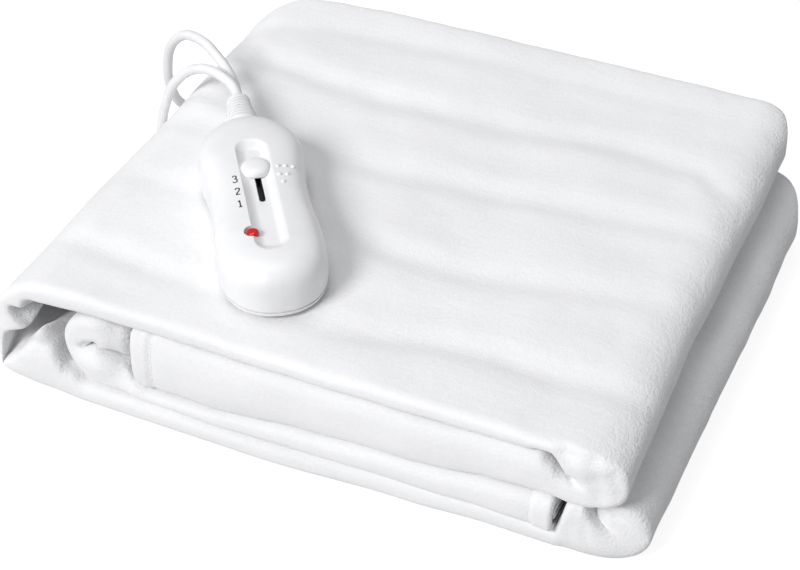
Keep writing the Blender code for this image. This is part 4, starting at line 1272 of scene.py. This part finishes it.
def make_boot(materials):
    rows = [(HALF_LENGTH - BOOT_IN, *BOOT_NECK)]
    rows += [(HALF_LENGTH + out, half_x, half_z) for out, half_x, half_z in BOOT_SKIRT]
    pitch = (BOOT_END_Y - 3.0 - BOOT_RIBS_Y) / BOOT_RIBS
    for k in range(BOOT_RIBS):
        t = k / (BOOT_RIBS - 1)
        half_x = between(BOOT_BASE[0], BOOT_TIP[0], t)
        half_z = between(BOOT_BASE[1], BOOT_TIP[1], t)
        y = BOOT_RIBS_Y + k * pitch
        for share, draw in RIB_PROFILE:
            rows.append((y + pitch * share, half_x - draw * RIB_PROUD,
                         half_z - draw * RIB_PROUD))
    rows += [(BOOT_END_Y - 2.9, BOOT_TIP[0] - 0.4, BOOT_TIP[1] - 0.4),
             (BOOT_END_Y - 2.5, *BOOT_TIP), (BOOT_END_Y - 0.6, *BOOT_TIP),
             (BOOT_END_Y, BOOT_TIP[0] - 0.6, BOOT_TIP[1] - 0.6)]
    boot = loft("cord_boot", [oval_loop(*row) for row in rows], materials["white_cord"], 65)
    seat(boot)
    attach(boot, MAIN)
    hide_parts("controller_cord_boot")


def make_digits(materials):
    """The printed scale beside the slider, each stroke a thin skin of ink."""
    for digit in DIGITS:
        points, faces = [], []
        for stroke in digit.strokes:
            line = np.array(evenly(catmull_rom(stroke, 6), 0.3)) * INK_STRETCH
            along = np.gradient(line, axis=0)
            along /= np.linalg.norm(along, axis=1, keepdims=True)
            across = np.column_stack([-along[:, 1], along[:, 0]]) * INK_WIDTH / 2
            loops = []
            for place, side in zip(line, across):
                edges = np.array([place - side, place + side]) + (digit.x, digit.y)
                height = shell_height(edges[:, 0], edges[:, 1])
                loops.append([(*edges[0], height[0] - 0.1), (*edges[1], height[1] - 0.1),
                              (*edges[1], height[1] + INK_RISE),
                              (*edges[0], height[0] + INK_RISE)])
            add_loops(points, faces, loops)
        shell = add_mesh("scale_digit_" + digit.text, points, faces, materials["black_ink"], False)
        seat(shell)
        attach(shell, MAIN)


def make_dots(materials):
    """Raised dots for the fingers, in three rows."""
    points, faces = [], []
    for x, y in DOTS:
        base = float(shell_height(x, y))
        loops = [disc_loop(x, y, base + rise, DOT_RADIUS * spread, 24)
                 for spread, rise in DOT_PROFILE]
        add_loops(points, faces, loops)
    dots = add_mesh("touch_dots", points, faces, materials["white_housing"])
    seat(dots)
    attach(dots, MAIN)


# ==================================================================== the cords
def coil_route():
    """Turns that wind inwards on the floor and back outwards on top of them."""
    inward = COIL_TURNS / 2
    innermost = COIL_OUTER - COIL_PITCH * inward
    route = []
    for k in range(1, round(COIL_TURNS * 360.0 / COIL_STEP)):
        angle = k * COIL_STEP
        radius = innermost + COIL_PITCH * math.hypot(angle / 360.0 - inward, COIL_ROUNDING)
        rise = float(smooth_step((angle - inward * 360.0) / COIL_RISE + 0.5))
        heading = math.radians(90.0 - angle)
        route.append((COIL_AT[0] + radius * math.cos(heading),
                      COIL_AT[1] + radius * math.sin(heading), FLOOR_Z + CORD * rise))
    return route


def make_curve(name, points, material):
    curve = bpy.data.curves.new(name, "CURVE")
    curve.dimensions = "3D"
    curve.bevel_depth = CORD / 2 * MM
    curve.bevel_resolution = 5
    curve.use_fill_caps = True
    spline = curve.splines.new("POLY")
    spline.points.add(len(points) - 1)
    for slot, point in zip(spline.points, points):
        slot.co = (*(c * MM for c in point), 1.0)
    spline.use_smooth = True
    curve.materials.append(material)
    return new_object(name, curve)


def cord_points(route):
    """The route as a smooth line that starts a little inside the boot."""
    back = Vector(route[0]) - Vector(route[1])
    start = Vector(route[0]) + back.normalized() * CORD_START
    return evenly(catmull_rom([tuple(start), *route], 6), 2.8)


def make_cords(materials):
    mains_points = cord_points(MAINS_ROUTE + coil_route() + PLUG_ROUTE)
    mains = make_curve("mains_cord", mains_points, materials["white_cord"])
    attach(mains, MAIN)
    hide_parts("mains_lead", "mains_coil", "plug_lead")
    lead_points = cord_points(LEAD_ROUTE)
    lead = make_curve("blanket_cord", lead_points, materials["white_cord"])
    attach(lead, MAIN)
    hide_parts("blanket_lead")


def dress_node(name, material):
    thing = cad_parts[name]
    if not thing.material_slots:
        thing.data.materials.append(material)
    for slot in thing.material_slots:
        slot.material = material


# ==================================================================== studio
def camera_sees(board, seen, otherwise, surface):
    """The camera sees one shader, and all other rays meet another."""
    mix = board.feed(board.node("ShaderNodeMixShader"),
                     Fac=board.node("ShaderNodeLightPath").outputs["Is Camera Ray"])
    board.link(otherwise.outputs[0], mix.inputs[1])
    board.link(seen.outputs[0], mix.inputs[2])
    board.link(mix.outputs[0], surface)


def make_floor():
    mesh = bpy.data.meshes.new("studio_floor")
    corners = ((-1, -1), (1, -1), (1, 1), (-1, 1))
    mesh.from_pydata([(x * FLOOR_HALF, y * FLOOR_HALF, FLOOR_HEIGHT) for x, y in corners],
                     [], [(0, 1, 2, 3)])
    floor = new_object("studio_floor", mesh)
    made, board, shader = new_material("studio_white", Base_Color=FLOOR_GREY, Roughness=1.0,
                                       Specular_IOR_Level=0.0)
    lit = board.feed(board.node("ShaderNodeBsdfDiffuse"), Color=FLOOR_SEEN)
    glow = board.feed(board.node("ShaderNodeEmission"), Color=WHITE, Strength=FLOOR_GLOW)
    seen = board.node("ShaderNodeAddShader")
    for source, slot in zip((lit, glow), seen.inputs):
        board.link(source.outputs[0], slot)
    camera_sees(board, seen, shader, made.node_tree.nodes["Material Output"].inputs["Surface"])
    mesh.materials.append(made)


def make_world():
    world = bpy.data.worlds.new("studio_air")
    world.use_nodes = True
    bpy.context.scene.world = world
    board = Board(world.node_tree)
    nodes = world.node_tree.nodes
    dim = board.feed(nodes["Background"], Color=AIR, Strength=AIR_STRENGTH)
    white = board.feed(board.node("ShaderNodeBackground"), Color=WHITE)
    camera_sees(board, white, dim, nodes["World Output"].inputs["Surface"])


def make_lamp(given):
    """A square soft lamp that shines at the object from a direction."""
    lamp = bpy.data.lights.new(given.name, "AREA")
    lamp.shape = "SQUARE"
    lamp.size = given.size
    lamp.energy = given.watts
    thing = new_object(given.name, lamp)
    towards = Vector(given.direction).normalized()
    thing.location = towards * given.distance + Vector(LAMP_AIM)
    thing.rotation_mode = "QUATERNION"
    thing.rotation_quaternion = (-towards).to_track_quat("-Z", "Y")


def make_camera():
    data = bpy.data.cameras.new("photo_camera")
    data.lens = CAMERA_LENS
    data.sensor_width = 36.0
    data.clip_start = 0.05
    data.clip_end = 30.0
    camera = new_object("photo_camera", data)
    camera.location = CAMERA_AT
    camera.rotation_euler = (math.radians(CAMERA_TILT), 0.0, math.radians(CAMERA_HEADING))
    bpy.context.scene.camera = camera


def main():
    bpy.context.scene.view_settings.view_transform = "Standard"
    make_camera()
    materials = make_materials()
    make_cords(materials)
    cloth, strip, grid = make_blanket(materials)
    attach(cloth, MAIN)
    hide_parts("blanket")
    stitches = make_stitches(strip, grid, materials)
    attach(stitches, MAIN)
    make_housings(materials)
    make_slot_liner(materials)
    make_knob(materials)
    make_lens(materials)
    make_boot(materials)
    make_digits(materials)
    make_dots(materials)
    for name in ("mains_plug", "lead_inlet"):
        dress_node(name, materials["white_cord"])
    for name in ("plug_pin_left", "plug_pin_right"):
        dress_node(name, materials["plated_pin"])
    make_floor()
    make_world()
    for lamp in LAMPS:
        make_lamp(lamp)


main()
